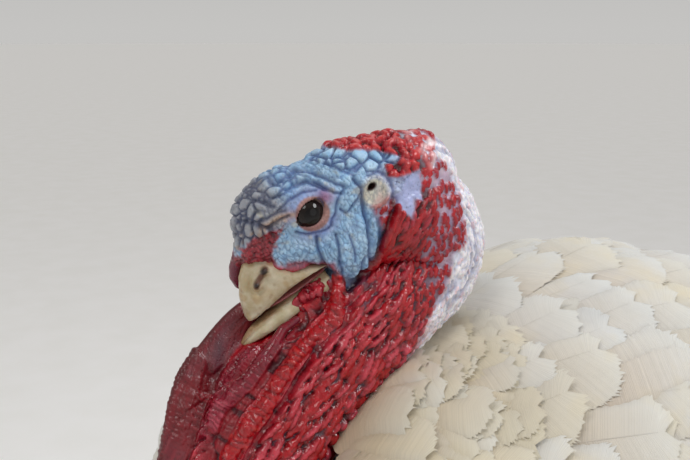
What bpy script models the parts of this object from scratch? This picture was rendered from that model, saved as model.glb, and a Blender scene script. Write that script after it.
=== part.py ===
"""A life-size domestic white turkey tom, standing, as a still museum model.

Units are metres, +Z up. The bird faces -Y and its left side is +X. Sizes of the head are in
millimetres in the head's own frame: forward along the bill, left, and up, from the point midway
between the eyes. Every sub-part is its own object. The finished model is moved at the end so that
the origin is at the middle of its box, on the floor.
"""

import math

import bmesh
import bpy
from mathutils import Matrix, Vector

MM = 0.001
GAP = 0.0004                       # space left between neighbouring parts

# Carriage of the head
HEAD_AT = Vector((0.0, -0.170, 0.720))
HEAD_PITCH = math.radians(32)      # bill below the horizontal
HEAD_TURN = math.radians(13)       # towards the bird's right

# Driving sizes
EYE_RADIUS = 8.6 * MM
EYE_AT = Vector((0, 11.4, -1))     # mm, left eye in the head frame
EAR_AT = Vector((-30.5, 18.3, -10))
FOOT_AT = Vector((0.104, 0.066, 0.024))
TOE_RADIUS = 0.0095
FLOOR_FLAT = 0.0                   # level of the soles

SKIN_BLUE = (0.42, 0.52, 0.66)
SKIN_RED = (0.55, 0.05, 0.06)
SKIN_MAROON = (0.34, 0.07, 0.10)
PLUMAGE = (0.86, 0.84, 0.78)
HORN = (0.72, 0.66, 0.50)
LEG_SKIN = (0.74, 0.60, 0.52)


# ---------------------------------------------------------------- scene and material helpers

def clear_scene():
    for obj in list(bpy.data.objects):
        bpy.data.objects.remove(obj)


def material(name, colour, roughness):
    made = bpy.data.materials.get(name) or bpy.data.materials.new(name)
    made.use_nodes = True
    shader = made.node_tree.nodes["Principled BSDF"]
    shader.inputs["Base Color"].default_value = (*colour, 1)
    shader.inputs["Roughness"].default_value = roughness
    shader.inputs["Metallic"].default_value = 0.0
    return made


def place(name, bm, finish=None):
    """Makes a smooth-shaded object of this mesh."""
    bmesh.ops.recalc_face_normals(bm, faces=bm.faces)
    mesh = bpy.data.meshes.new(name)
    bm.to_mesh(mesh)
    bm.free()
    mesh.shade_smooth()
    obj = bpy.data.objects.new(name, mesh)
    bpy.context.scene.collection.objects.link(obj)
    if finish:
        mesh.materials.append(finish)
    return obj


def as_helper(obj):
    obj.hide_render = True
    obj.display_type = "WIRE"
    return obj


# ---------------------------------------------------------------- shape helpers

def head_frame():
    """Carries millimetres in the head frame to metres in the model."""
    level = Vector((-math.sin(HEAD_TURN), -math.cos(HEAD_TURN), 0))
    forward = level * math.cos(HEAD_PITCH) - Vector((0, 0, 1)) * math.sin(HEAD_PITCH)
    left = Vector((math.cos(HEAD_TURN), -math.sin(HEAD_TURN), 0))
    axes = Matrix((forward, left, forward.cross(left))).transposed()
    return Matrix.Translation(HEAD_AT) @ axes.to_4x4() @ Matrix.Scale(MM, 4)


def mirrored(point, side):
    return Vector((point[0], point[1] * side, point[2]))


def add_ellipsoid(bm, centre, radii, frame=Matrix.Identity(4), segments=20, rings=12):
    shape = frame @ Matrix.Translation(Vector(centre)) @ Matrix.Diagonal((*radii, 1))
    bmesh.ops.create_uvsphere(bm, u_segments=segments, v_segments=rings, radius=1, matrix=shape)


def smooth_stations(stations, steps):
    """Catmull-Rom through tuples of numbers, with this many steps from each to the next."""
    rows = [Vector(s) for s in stations]
    ends = [rows[0] * 2 - rows[1], *rows, rows[-1] * 2 - rows[-2]]
    made = []
    for a, b, c, d in zip(ends, ends[1:], ends[2:], ends[3:]):
        for i in range(steps):
            t = i / steps
            made.append(0.5 * (b * 2 + (c - a) * t + (a * 2 - b * 5 + c * 4 - d) * t * t
                               + (b * 3 - a - c * 3 + d) * t ** 3))
    return [*made, rows[-1]]


def bridge_rings(bm, rings):
    """Joins rings of equal length with faces, and closes both ends with a fan to their middle."""
    loops = [[bm.verts.new(p) for p in ring] for ring in rings]
    count = len(loops[0])
    for a, b in zip(loops, loops[1:]):
        for i in range(count):
            j = (i + 1) % count
            bm.faces.new((a[i], a[j], b[j], b[i]))
    for loop, ring in ((loops[0], rings[0]), (loops[-1], rings[-1])):
        middle = bm.verts.new(sum((Vector(p) for p in ring), Vector()) / count)
        for i in range(count):
            bm.faces.new((loop[i], loop[(i + 1) % count], middle))


def tube_rings(stations, sides, across=Vector((1, 0, 0))):
    """Rings round a bent tube. A station is x, y, z, half width along `across`, half depth."""
    points = [Vector(s[:3]) for s in stations]
    rings = []
    for i, station in enumerate(stations):
        before, after = points[max(i - 1, 0)], points[min(i + 1, len(points) - 1)]
        along = (after - before).normalized()
        wide = (across - along * across.dot(along)).normalized()
        deep = along.cross(wide)
        turns = [2 * math.pi * k / sides for k in range(sides)]
        rings.append([points[i] + wide * station[3] * math.cos(t)
                      + deep * station[4] * math.sin(t) for t in turns])
    return rings


def tube(name, stations, sides, finish=None, steps=3, across=Vector((1, 0, 0))):
    bm = bmesh.new()
    bridge_rings(bm, tube_rings([tuple(s) for s in smooth_stations(stations, steps)], sides, across))
    return place(name, bm, finish)


def modifier(obj, kind, **settings):
    made = obj.modifiers.new(kind.title(), kind)
    for key, value in settings.items():
        setattr(made, key, value)
    return made


def finished_mesh(obj):
    bpy.context.view_layer.update()
    return bpy.data.meshes.new_from_object(obj.evaluated_get(bpy.context.evaluated_depsgraph_get()))


def apply_modifiers(obj):
    mesh = finished_mesh(obj)
    obj.modifiers.clear()
    obj.data = mesh
    return obj


def fuse(obj, voxel, triangles, smoothing=6):
    """Melts overlapping forms into one smooth closed body of about this many triangles."""
    modifier(obj, "REMESH", mode="VOXEL", voxel_size=voxel)
    modifier(obj, "SMOOTH", factor=0.5, iterations=smoothing)
    apply_modifiers(obj)
    modifier(obj, "DECIMATE", ratio=triangles / (2 * len(obj.data.polygons)))
    return apply_modifiers(obj)


def swollen(obj, by=GAP):
    """A hidden copy of an object, grown by this much, to cut its neighbours with."""
    mesh = finished_mesh(obj)
    mesh.transform(obj.matrix_world)
    bm = bmesh.new()
    bm.from_mesh(mesh)
    bm.normal_update()
    for vert in bm.verts:
        vert.co += vert.normal * by * vert.calc_shell_factor()
    return as_helper(place(obj.name + "_clearance", bm))


def subtract(obj, *cutters):
    for cutter in cutters:
        modifier(obj, "BOOLEAN", operation="DIFFERENCE", solver="EXACT", object=cutter)
    return apply_modifiers(obj)


def block(name, low, high):
    bm = bmesh.new()
    size, middle = Vector(high) - Vector(low), (Vector(high) + Vector(low)) / 2
    bmesh.ops.create_cube(bm, size=1, matrix=Matrix.Translation(middle) @ Matrix.Diagonal((*size, 1)))
    return as_helper(place(name, bm))


def turned(direction):
    return tuple(-n for n in direction)


def part_by_planes(whole, name, finish, planes):
    """The piece of a body bounded by planes, each a point on it and the direction that is kept."""
    reach = 0.6
    piece = bpy.data.objects.new(name, whole.data.copy())
    bpy.context.scene.collection.objects.link(piece)
    piece.data.materials.clear()
    piece.data.materials.append(finish)
    for point, keep in planes:
        normal = Vector(keep).normalized()
        slab = block(name + "_side", (-reach,) * 3, (reach, reach, 0))
        slab.matrix_world = (Matrix.Translation(Vector(point) + normal * GAP / 2)
                             @ normal.to_track_quat("Z", "Y").to_matrix().to_4x4())
        subtract(piece, slab)
    return piece


def keep_largest(obj):
    """Drops the small crumbs that cutting can leave beside the main body."""
    bm = bmesh.new()
    bm.from_mesh(obj.data)
    unseen, islands = set(bm.verts), []
    while unseen:
        grown = [unseen.pop()]
        island = []
        while grown:
            vert = grown.pop()
            island.append(vert)
            near = [edge.other_vert(vert) for edge in vert.link_edges]
            fresh = [other for other in near if other in unseen]
            unseen.difference_update(fresh)
            grown += fresh
        islands.append(island)
    islands.sort(key=len)
    for island in islands[:-1]:
        bmesh.ops.delete(bm, geom=island, context="VERTS")
    bm.to_mesh(obj.data)
    bm.free()


# ---------------------------------------------------------------- trunk, tail and wings

TRUNK_FRONT = (-0.284, 0.470)      # y and z of the foremost point of the breast
TRUNK_REAR = (0.342, 0.500)
# y, top, bottom, half width of the feathered body
TRUNK_SECTIONS = (
    (-0.274, 0.503, 0.430, 0.054), (-0.250, 0.536, 0.372, 0.098), (-0.208, 0.581, 0.316, 0.140),
    (-0.150, 0.619, 0.278, 0.170), (-0.090, 0.644, 0.261, 0.185), (-0.030, 0.662, 0.260, 0.190),
    (0.030, 0.671, 0.270, 0.188), (0.090, 0.665, 0.291, 0.179), (0.150, 0.648, 0.322, 0.161),
    (0.210, 0.622, 0.361, 0.136), (0.265, 0.588, 0.404, 0.104), (0.313, 0.548, 0.450, 0.065),
)


def trunk_ring(section, sides=26):
    """A cross-section rather wider than deep at the back, and fuller than an ellipse."""
    y, top, bottom, half_width = section
    middle, half_height = (top + bottom) / 2, (top - bottom) / 2
    fullness = 0.88
    ring = []
    for k in range(sides):
        turn = 2 * math.pi * k / sides
        wide, high = math.cos(turn), math.sin(turn)
        ring.append(Vector((
            half_width * math.copysign(abs(wide) ** fullness, wide), y,
            middle + half_height * math.copysign(abs(high) ** fullness, high))))
    return ring


def make_trunk(finish):
    front = (TRUNK_FRONT[0], TRUNK_FRONT[1] + 0.012, TRUNK_FRONT[1] - 0.012, 0.012)
    rear = (TRUNK_REAR[0], TRUNK_REAR[1] + 0.012, TRUNK_REAR[1] - 0.012, 0.012)
    bm = bmesh.new()
    bridge_rings(bm, [trunk_ring(section) for section in (front, *TRUNK_SECTIONS, rear)])
    return place("trunk", bm, finish)


# x, y, z, half width, half thickness
TAIL_STATIONS = (
    (0, 0.255, 0.525, 0.060, 0.034), (0, 0.320, 0.505, 0.076, 0.028), (0, 0.400, 0.482, 0.094, 0.020),
    (0, 0.480, 0.458, 0.110, 0.014), (0, 0.550, 0.437, 0.118, 0.010), (0, 0.600, 0.421, 0.110, 0.008),
    (0, 0.630, 0.411, 0.080, 0.006),
)
# x, y, z, half thickness, half height of the folded wing
WING_STATIONS = (
    (0.134, -0.188, 0.505, 0.018, 0.024), (0.153, -0.160, 0.502, 0.027, 0.056),
    (0.177, -0.100, 0.494, 0.029, 0.086), (0.189, -0.020, 0.484, 0.028, 0.099),
    (0.185, 0.060, 0.476, 0.027, 0.101), (0.167, 0.140, 0.466, 0.025, 0.094),
    (0.137, 0.220, 0.452, 0.021, 0.080), (0.106, 0.290, 0.438, 0.016, 0.060),
    (0.082, 0.350, 0.424, 0.011, 0.038), (0.069, 0.392, 0.414, 0.007, 0.018),
)
WING_TIP_CUT = ((0.12, 0.245, 0.45), (0, 1, 0.35))


def make_wing(finish, trunk_space, tail_space):
    whole = subtract(tube("wing_whole", WING_STATIONS, 14, finish, 1), trunk_space, tail_space)
    point, back = WING_TIP_CUT
    pieces = [part_by_planes(whole, "wing_left", finish, ((point, turned(back)),)),
              part_by_planes(whole, "wing_tip_left", finish, ((point, back),))]
    bpy.data.objects.remove(whole)
    return pieces


# ---------------------------------------------------------------- head and neck

# Forms of the head in its frame, mm: centre and radii; those off the middle are made on both sides
HEAD_FORMS = (
    ((-19, 0, -2), (30, 20.5, 19.5)),      # brain case
    ((-47, 0, -14), (23, 19, 22)),         # carunculate crown above the nape
    ((8, 0, 6), (24, 16.5, 16.5)),         # brow
    ((22.5, 0, 3.5), (13, 10.5, 13.5)),          # bulge over the bill
    ((5, 0, -12), (26, 16, 18)),           # face
    ((0, 10.5, 0), (13, 7.2, 10.5)),       # eyelids
    ((-10, 8.5, -24), (21, 12.5, 21.5)),   # cheek
    ((6, 0, -39), (17, 11, 8)),            # chin
)
# x, y, z of the middle of the neck, half width, half depth
NECK_STATIONS = (
    (0.010, -0.126, 0.714, 0.023, 0.027), (0.009, -0.1075, 0.7095, 0.0265, 0.0315),
    (0.006, -0.095, 0.6945, 0.0285, 0.0325), (0.004, -0.097, 0.681, 0.029, 0.0315),
    (0.003, -0.1145, 0.670, 0.030, 0.0325), (0.002, -0.148, 0.6485, 0.031, 0.0355),
    (0.001, -0.180, 0.6225, 0.033, 0.0370), (0, -0.199, 0.592, 0.036, 0.0385),
    (0, -0.206, 0.560, 0.040, 0.0400), (0, -0.203, 0.525, 0.044, 0.0430),
)
# The cuts between head, throat and neck meet at the angle of the throat
THROAT = (0, -0.145, 0.681)
BEHIND_HEAD = (0, 0.81, -0.59)
UNDER_JAW = (0, 0.45, -0.89)
BELOW_NAPE = (0, 0.07, -1)
LOWER_NECK = (0, -0.165, 0.631)
DOWN_NECK = (0, -0.78, -0.62)

# Upper bill, mm in the head frame: forward, top, bottom, half width
BILL_UPPER_SECTIONS = (
    (6, -28, -30, 11.4), (14, -22.5, -29.4, 12.2), (22, -16, -30, 12), (28, -7, -31.5, 10.8),
    (33, -4.8, -33, 9.6), (38, -6.6, -34, 8.4), (43, -11, -35, 7), (46.5, -17, -35.8, 5.8),
    (49, -25, -36.3, 4.6), (50.8, -31, -36.8, 3.6),
)
BILL_LOWER_SECTIONS = (
    (8, -31.2, -35, 11.2), (18, -32, -38.6, 10.9), (28, -33.4, -40.6, 9.6), (38, -35, -42.4, 7.9),
    (47, -36.9, -43.2, 6.1), (55, -39, -43, 4.3), (61, -41, -42.6, 2.6),
)
# Snood, mm in the head frame: forward, left, up, half width, half depth
SNOOD_STATIONS = (
    (32, -1, -1, 4.2, 4.2), (38, -3.5, -4.5, 4.1, 4.0), (42.6, -6.5, -8.5, 3.9, 3.8),
    (44.8, -8.4, -13, 3.6, 3.5), (44.6, -9.6, -17.5, 3.1, 3.0), (43.6, -10, -21, 1.8, 1.8),
)
# x, y, z, half thickness, half depth of the fold of skin that hangs from the throat
DEWLAP_STATIONS = (
    (-0.0130, -0.182, 0.6735, 0.0040, 0.007), (-0.0150, -0.191, 0.661, 0.0055, 0.015),
    (-0.0115, -0.202, 0.645, 0.0065, 0.022), (-0.0065, -0.213, 0.627, 0.0080, 0.027),
    (-0.0020, -0.220, 0.604, 0.0095, 0.028), (0, -0.222, 0.580, 0.0110, 0.027),
    (0, -0.219, 0.556, 0.0120, 0.024), (0, -0.213, 0.535, 0.0110, 0.020),
)
# x, y, z, radius of the large caruncles above the breast; those off the middle are made on both sides
BASE_CARUNCLES = (
    (0, -0.250, 0.562, 0.013), (0, -0.259, 0.546, 0.014), (0, -0.266, 0.530, 0.013),
    (0.014, -0.247, 0.553, 0.014), (0.013, -0.258, 0.537, 0.013), (0.027, -0.241, 0.546, 0.013),
    (0.026, -0.251, 0.531, 0.011), (0.038, -0.230, 0.556, 0.012),
)


def make_flesh():
    """Head and neck as one body."""
    frame = head_frame()
    bm = bmesh.new()
    for centre, radii in HEAD_FORMS:
        for side in ((1, -1) if centre[1] else (1,)):
            add_ellipsoid(bm, mirrored(centre, side), radii, frame)
    for x, y, z, wide, deep in smooth_stations(NECK_STATIONS, 4):
        add_ellipsoid(bm, (x, y, z), (wide, deep, deep))
    whole = place("flesh_whole", bm)
    return fuse(whole, 2.2 * MM, 1800)


def split_flesh(whole):
    """Cuts the flesh into the head and the upper, middle and lower neck."""
    blue = material("head_skin", SKIN_BLUE, 0.5)
    red = material("neck_skin", SKIN_RED, 0.4)
    pieces = (
        ("head", blue, ((THROAT, turned(BEHIND_HEAD)), (THROAT, turned(UNDER_JAW)))),
        ("neck_upper", red, ((THROAT, BEHIND_HEAD), (THROAT, turned(BELOW_NAPE)))),
        ("neck_middle", red, ((THROAT, BELOW_NAPE), (THROAT, UNDER_JAW),
                              (LOWER_NECK, turned(DOWN_NECK)))),
        ("neck_lower", red, ((LOWER_NECK, DOWN_NECK), (THROAT, UNDER_JAW))),
    )
    made = [part_by_planes(whole, *piece) for piece in pieces]
    bpy.data.objects.remove(whole)
    return made


def bill_ring(section, sides=14):
    """Arched above and flatter below, in millimetres of the head frame."""
    forward, top, bottom, half_width = section
    middle = bottom + (top - bottom) * 0.3
    ring = []
    for k in range(sides):
        turn = 2 * math.pi * k / sides
        reach = top - middle if math.sin(turn) > 0 else middle - bottom
        ring.append((forward, half_width * math.cos(turn), middle + reach * math.sin(turn)))
    return ring


def make_bill(name, sections, finish):
    bm = bmesh.new()
    bridge_rings(bm, [bill_ring(section) for section in smooth_stations(sections, 1)])
    bm.transform(head_frame())
    return place(name, bm, finish)


def make_eye(label, side, finish):
    bm = bmesh.new()
    radius = EYE_RADIUS / MM
    add_ellipsoid(bm, mirrored(EYE_AT, side), (radius,) * 3, head_frame(), 16, 8)
    return place(f"eye_{label}", bm, finish)


def make_ear(label, side, finish):
    bm = bmesh.new()
    add_ellipsoid(bm, mirrored(EAR_AT, side), (7.6, 2.6, 7.2), head_frame(), 12, 4)
    return place(f"ear_{label}", bm, finish)


def make_snood(finish):
    rings = tube_rings([tuple(s) for s in smooth_stations(SNOOD_STATIONS, 1)], 9, Vector((0, 1, 0)))
    bm = bmesh.new()
    bridge_rings(bm, rings)
    bm.transform(head_frame())
    return place("snood", bm, finish)


def make_caruncles(finish):
    bm = bmesh.new()
    for x, y, z, radius in BASE_CARUNCLES:
        for side in ((1, -1) if x else (1,)):
            add_ellipsoid(bm, (x * side, y, z), (radius,) * 3, segments=12, rings=8)
    made = place("neck_caruncles", bm, finish)
    return fuse(made, 2.2 * MM, 300, 1)


# x, y, z, half width, half depth of the tuft of bristles on the breast
BEARD_STATIONS = (
    (0, -0.272, 0.492, 0.0060, 0.0040), (0, -0.290, 0.474, 0.0080, 0.0050),
    (0, -0.296, 0.442, 0.0080, 0.0050), (0, -0.292, 0.405, 0.0065, 0.0045),
    (0, -0.285, 0.378, 0.0035, 0.0030),
)


# ---------------------------------------------------------------- legs

# left leg; x, y, z, half width, half depth
THIGH_STATIONS = (
    (0.080, 0.050, 0.345, 0.060, 0.082), (0.088, 0.042, 0.298, 0.054, 0.074),
    (0.094, 0.052, 0.254, 0.042, 0.056), (0.098, 0.075, 0.220, 0.029, 0.036),
    (0.100, 0.095, 0.196, 0.019, 0.022), (0.100, 0.103, 0.184, 0.0148, 0.0160),
)
SHANK_STATIONS = (
    (0.100, 0.105, 0.192, 0.0085, 0.0095), (0.100, 0.106, 0.178, 0.0125, 0.0145),
    (0.101, 0.102, 0.160, 0.0100, 0.0120), (0.102, 0.090, 0.115, 0.0085, 0.0105),
    (0.103, 0.078, 0.068, 0.0088, 0.0105), (0.104, 0.068, 0.032, 0.0105, 0.0120),
    (0.104, 0.065, 0.020, 0.0100, 0.0110),
)
# name, heading in degrees outwards from straight ahead, length, height of the tip
TOES = (
    ("middle", 2, 0.092, 0.0048), ("inner", -33, 0.072, 0.0046), ("outer", 36, 0.078, 0.0046),
    ("back", 172, 0.036, 0.0085),
)
SPUR_STATIONS = (
    (0.098, 0.096, 0.096, 0.0045, 0.0050), (0.094, 0.106, 0.094, 0.0038, 0.0040),
    (0.091, 0.114, 0.095, 0.0022, 0.0024), (0.090, 0.120, 0.098, 0.0009, 0.0009),
)


def toe_path(heading, reach, height):
    """The point this far out along a toe, at this height."""
    turn = math.radians(heading)
    return (FOOT_AT.x + math.sin(turn) * reach, FOOT_AT.y - math.cos(turn) * reach, height)


def make_foot(finish, floor):
    bm = bmesh.new()
    add_ellipsoid(bm, (FOOT_AT.x, FOOT_AT.y, 0.0135), (0.0145, 0.0165, 0.0150))
    for _, heading, length, tip in TOES:
        root = 0.0088 if heading < 90 else 0.013
        steps = 9
        for i in range(steps + 1):
            t = i / steps
            thick = TOE_RADIUS * (1 - 0.36 * t) * (1 + 0.07 * math.cos(t * 6 * math.pi))
            at = toe_path(heading, 0.006 + (length - 0.006) * t, root + (tip - root) * t)
            add_ellipsoid(bm, at, (thick,) * 3, segments=12, rings=8)
    made = place("foot_left", bm, finish)
    return subtract(fuse(made, 1.5 * MM, 360, 4), floor)


def make_claw(toe, finish):
    name, heading, length, tip = toe
    stations = [(*toe_path(heading, length + out, tip + up), wide, wide) for out, up, wide in (
        (-0.002, 0.0014, 0.0042), (0.006, 0.0016, 0.0038), (0.013, 0.0008, 0.0028),
        (0.0185, -0.0012, 0.0013))]
    across = Vector((math.cos(math.radians(heading)), math.sin(math.radians(heading)), 0))
    return tube(f"claw_left_{name}", stations, 6, finish, 1, across)


def make_leg(trunk_space, floor):
    scaly = material("leg_skin", LEG_SKIN, 0.5)
    horn = material("claw_horn", HORN, 0.4)
    shank = tube("shank_left", SHANK_STATIONS, 12, scaly, 1)
    shank_space = swollen(shank)
    thigh = tube("thigh_left", THIGH_STATIONS, 16, material("thigh_feathers", PLUMAGE, 0.8), 1)
    subtract(thigh, trunk_space, shank_space)
    foot = make_foot(scaly, floor)
    foot_space = swollen(foot)
    subtract(shank, foot_space)
    spur = subtract(tube("spur_left", SPUR_STATIONS, 7, horn, 1), shank_space)
    claws = [subtract(make_claw(toe, horn), foot_space, floor) for toe in TOES]
    return [thigh, shank, foot, spur, *claws]


def twin(part):
    """The same part on the bird's right."""
    made = bpy.data.objects.new(part.name.replace("left", "right"), part.data.copy())
    bpy.context.scene.collection.objects.link(made)
    made.data.transform(Matrix.Scale(-1, 4, (1, 0, 0)))
    made.data.flip_normals()
    return made


# ---------------------------------------------------------------- the whole bird

def make_bird():
    plumage = material("body_feathers", PLUMAGE, 0.8)
    quills = material("wing_quills", PLUMAGE, 0.6)
    maroon = material("dewlap_skin", SKIN_MAROON, 0.4)
    horn = material("bill_horn", HORN, 0.4)
    dark = material("eye_dark", (0.02, 0.015, 0.012), 0.05)
    pale = material("ear_skin", (0.75, 0.72, 0.62), 0.6)
    floor = block("below_floor", (-0.5, -0.5, -0.1), (0.5, 0.5, FLOOR_FLAT))

    trunk = make_trunk(plumage)
    trunk_space = swollen(trunk)
    flesh = make_flesh()
    flesh_space = swollen(flesh)
    head, neck_upper, neck_middle, neck_lower = split_flesh(flesh)
    upper = make_bill("bill_upper", BILL_UPPER_SECTIONS, horn)
    lower = make_bill("bill_lower", BILL_LOWER_SECTIONS, horn)
    subtract(lower, swollen(upper))
    beaks = [swollen(upper), swollen(lower)]
    made = [trunk, head, neck_upper, neck_middle, neck_lower, upper, lower]
    for label, side in (("left", 1), ("right", -1)):
        made += [make_eye(label, side, dark), make_ear(label, side, pale)]
    subtract(head, *beaks, *[swollen(part) for part in made[-4:]])
    subtract(neck_middle, *beaks, trunk_space)
    subtract(neck_lower, *beaks, trunk_space)

    snood = subtract(make_snood(maroon), flesh_space, beaks[0])
    dewlap = tube("dewlap", DEWLAP_STATIONS, 12, maroon, 1)
    subtract(dewlap, flesh_space, *beaks, trunk_space)
    caruncles = make_caruncles(material("caruncle_skin", SKIN_RED, 0.3))
    subtract(caruncles, flesh_space, trunk_space, swollen(dewlap))
    beard = tube("beard", BEARD_STATIONS, 9,
                 material("beard_bristles", (0.03, 0.025, 0.02), 0.6), 1)
    subtract(beard, trunk_space, swollen(caruncles))
    made += [snood, dewlap, caruncles, beard]

    tail = subtract(tube("tail", TAIL_STATIONS, 14, quills, 1), trunk_space)
    one_side = make_wing(quills, trunk_space, swollen(tail)) + make_leg(trunk_space, floor)
    return [*made, tail, *one_side, *[twin(part) for part in one_side]]


def stand_on_origin(parts):
    """Moves everything so that the middle of the box, on the floor, is the origin."""
    corners = [part.matrix_world @ vert.co for part in parts for vert in part.data.vertices]
    low = Vector(min(c[i] for c in corners) for i in range(3))
    high = Vector(max(c[i] for c in corners) for i in range(3))
    shift = Matrix.Translation(-Vector(((low.x + high.x) / 2, (low.y + high.y) / 2, low.z)))
    for part in parts:
        part.data.transform(shift)


def main():
    clear_scene()
    parts = make_bird()
    for helper in [o for o in bpy.data.objects if o.hide_render]:
        bpy.data.objects.remove(helper)
    for part in parts:
        keep_largest(part)
    stand_on_origin(parts)


main()
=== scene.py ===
"""The white turkey tom, dressed: one skin over head, neck, body and legs, and a coat of feathers.

Shapes are worked out in millimetres, in the bird's own frame: it faces -Y, its left is +X. The head
has a frame of its own: forward along the bill, left, and up, from the point between the eyes.
"""
import math
from types import SimpleNamespace

import bpy
import numpy as np
from mathutils import Matrix, Vector
from mathutils.kdtree import KDTree


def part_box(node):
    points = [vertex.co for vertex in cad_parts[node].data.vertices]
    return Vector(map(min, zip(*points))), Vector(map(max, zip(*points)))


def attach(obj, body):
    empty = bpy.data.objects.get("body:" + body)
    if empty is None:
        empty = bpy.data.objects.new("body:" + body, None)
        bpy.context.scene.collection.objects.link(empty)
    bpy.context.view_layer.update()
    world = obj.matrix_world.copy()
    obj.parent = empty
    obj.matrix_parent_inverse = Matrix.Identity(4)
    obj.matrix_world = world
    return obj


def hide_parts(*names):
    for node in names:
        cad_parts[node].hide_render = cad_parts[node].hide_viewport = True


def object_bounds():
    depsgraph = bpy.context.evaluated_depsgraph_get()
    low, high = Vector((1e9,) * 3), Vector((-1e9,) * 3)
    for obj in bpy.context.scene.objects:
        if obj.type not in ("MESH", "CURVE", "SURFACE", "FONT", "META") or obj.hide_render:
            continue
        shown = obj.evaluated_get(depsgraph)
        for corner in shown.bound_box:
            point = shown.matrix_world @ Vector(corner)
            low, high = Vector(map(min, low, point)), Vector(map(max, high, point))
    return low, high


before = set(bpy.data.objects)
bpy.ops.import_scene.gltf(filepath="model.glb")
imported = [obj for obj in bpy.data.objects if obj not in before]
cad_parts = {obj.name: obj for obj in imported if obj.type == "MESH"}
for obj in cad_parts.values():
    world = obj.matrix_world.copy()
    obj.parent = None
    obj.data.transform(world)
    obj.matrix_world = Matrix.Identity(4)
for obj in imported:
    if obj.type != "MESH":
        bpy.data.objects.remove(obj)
CAD_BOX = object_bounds()
MM = 0.001


# ---------------------------------------------------------------- carriage of the head

HEAD_AT = np.array((0.0, -170.0, 720.0))
HEAD_PITCH = math.radians(32)
HEAD_TURN = math.radians(13)
EYE_AT = np.array((0.0, 11.4, -1.0))
EYE_RADIUS = 8.6
EAR_AT = np.array((-30.5, 18.3, -10.0))


def head_axes():
    level = np.array((-math.sin(HEAD_TURN), -math.cos(HEAD_TURN), 0))
    forward = level * math.cos(HEAD_PITCH) - np.array((0, 0, 1)) * math.sin(HEAD_PITCH)
    left = np.array((math.cos(HEAD_TURN), -math.sin(HEAD_TURN), 0))
    return np.array((forward, left, np.cross(forward, left)))


HEAD_AXES = head_axes()


def to_head(points):
    return (points - HEAD_AT) @ HEAD_AXES.T


def from_head(points):
    return np.asarray(points, float) @ HEAD_AXES + HEAD_AT


def model_shift():
    """From the bird's own frame, in millimetres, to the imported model, by the left eye's place."""
    low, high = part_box("eye_left")
    return (np.array(low) + np.array(high)) / 2 / MM - from_head(EYE_AT)


SHIFT = model_shift()


# where the bird is looked at from: a hand's breadth above the head, to its left and in front of it
CAMERA_AT = np.array((389.0, -415.0, 804.0))
CAMERA_TURN = math.radians(55)
CAMERA_TILT = math.radians(11.8)
CAMERA_BACK = (math.sin(CAMERA_TURN) * math.cos(CAMERA_TILT), -math.cos(CAMERA_TURN) * math.cos(CAMERA_TILT),
               math.sin(CAMERA_TILT))


# ---------------------------------------------------------------- small mathematics

def smoothstep(low, high, x):
    t = np.clip((x - low) / (high - low), 0, 1)
    return t * t * (3 - 2 * t)


def smooth_min(a, b, k):
    h = np.clip(0.5 + 0.5 * (b - a) / k, 0, 1)
    return b + (a - b) * h - k * h * (1 - h)


def smooth_max(a, b, k):
    return -smooth_min(-a, -b, k)


def length(v):
    return np.sqrt((v * v).sum(-1))


def unit(v):
    return v / np.maximum(length(v), 1e-9)[..., None]


def lerp(a, b, t):
    return a + (b - a) * t


def linear(r, g, b):
    """Linear light from the usual 0 to 255 colour values."""
    c = np.array((r, g, b)) / 255
    return np.where(c <= 0.04045, c / 12.92, ((c + 0.055) / 1.055) ** 2.4)


def paint(base, colour, weight):
    return base + (np.asarray(colour) - base) * np.atleast_1d(weight)[:, None]


def noise_hash(cell, seed):
    """Repeatable random numbers from 0 to 1 for whole-number cells."""
    h = np.uint64(seed * 7919 + 13)
    total = np.zeros(cell.shape[:-1], np.uint64) + h
    for i, prime in enumerate((73856093, 19349663, 83492791)):
        if i < cell.shape[-1]:
            total ^= cell[..., i].astype(np.int64).astype(np.uint64) * np.uint64(prime)
    total &= np.uint64(0xFFFFFFFF)
    for _ in range(2):
        total = ((total >> np.uint64(16)) ^ total) * np.uint64(0x45D9F3B) & np.uint64(0xFFFFFFFF)
    total = (total >> np.uint64(16)) ^ total
    return total.astype(float) / 0xFFFFFFFF


def value_noise(points, seed=0):
    """Smooth noise from -1 to 1, with features about one unit across."""
    base = np.floor(points)
    t = points - base
    t = t * t * (3 - 2 * t)
    total = 0
    for corner in np.ndindex(*(2,) * points.shape[-1]):
        offset = np.array(corner)
        weight = np.prod(np.where(offset == 1, t, 1 - t), axis=-1)
        total = total + weight * noise_hash(base + offset, seed)
    return total * 2 - 1


def cells(points, seed, jitter=0.8):
    """Distances to the nearest and second nearest scattered points, one to a unit cell."""
    base = np.floor(points)
    first = np.full(len(points), 9.0)
    second = first.copy()
    size = points.shape[-1]
    for corner in np.ndindex(*(3,) * size):
        cell = base + np.array(corner) - 1
        spot = np.stack([noise_hash(cell, seed + 31 * i) for i in range(size)], -1)
        away = length(cell + 0.5 + (spot - 0.5) * jitter - points)
        second = np.minimum(second, np.maximum(first, away))
        first = np.minimum(first, away)
    return first, second


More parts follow.
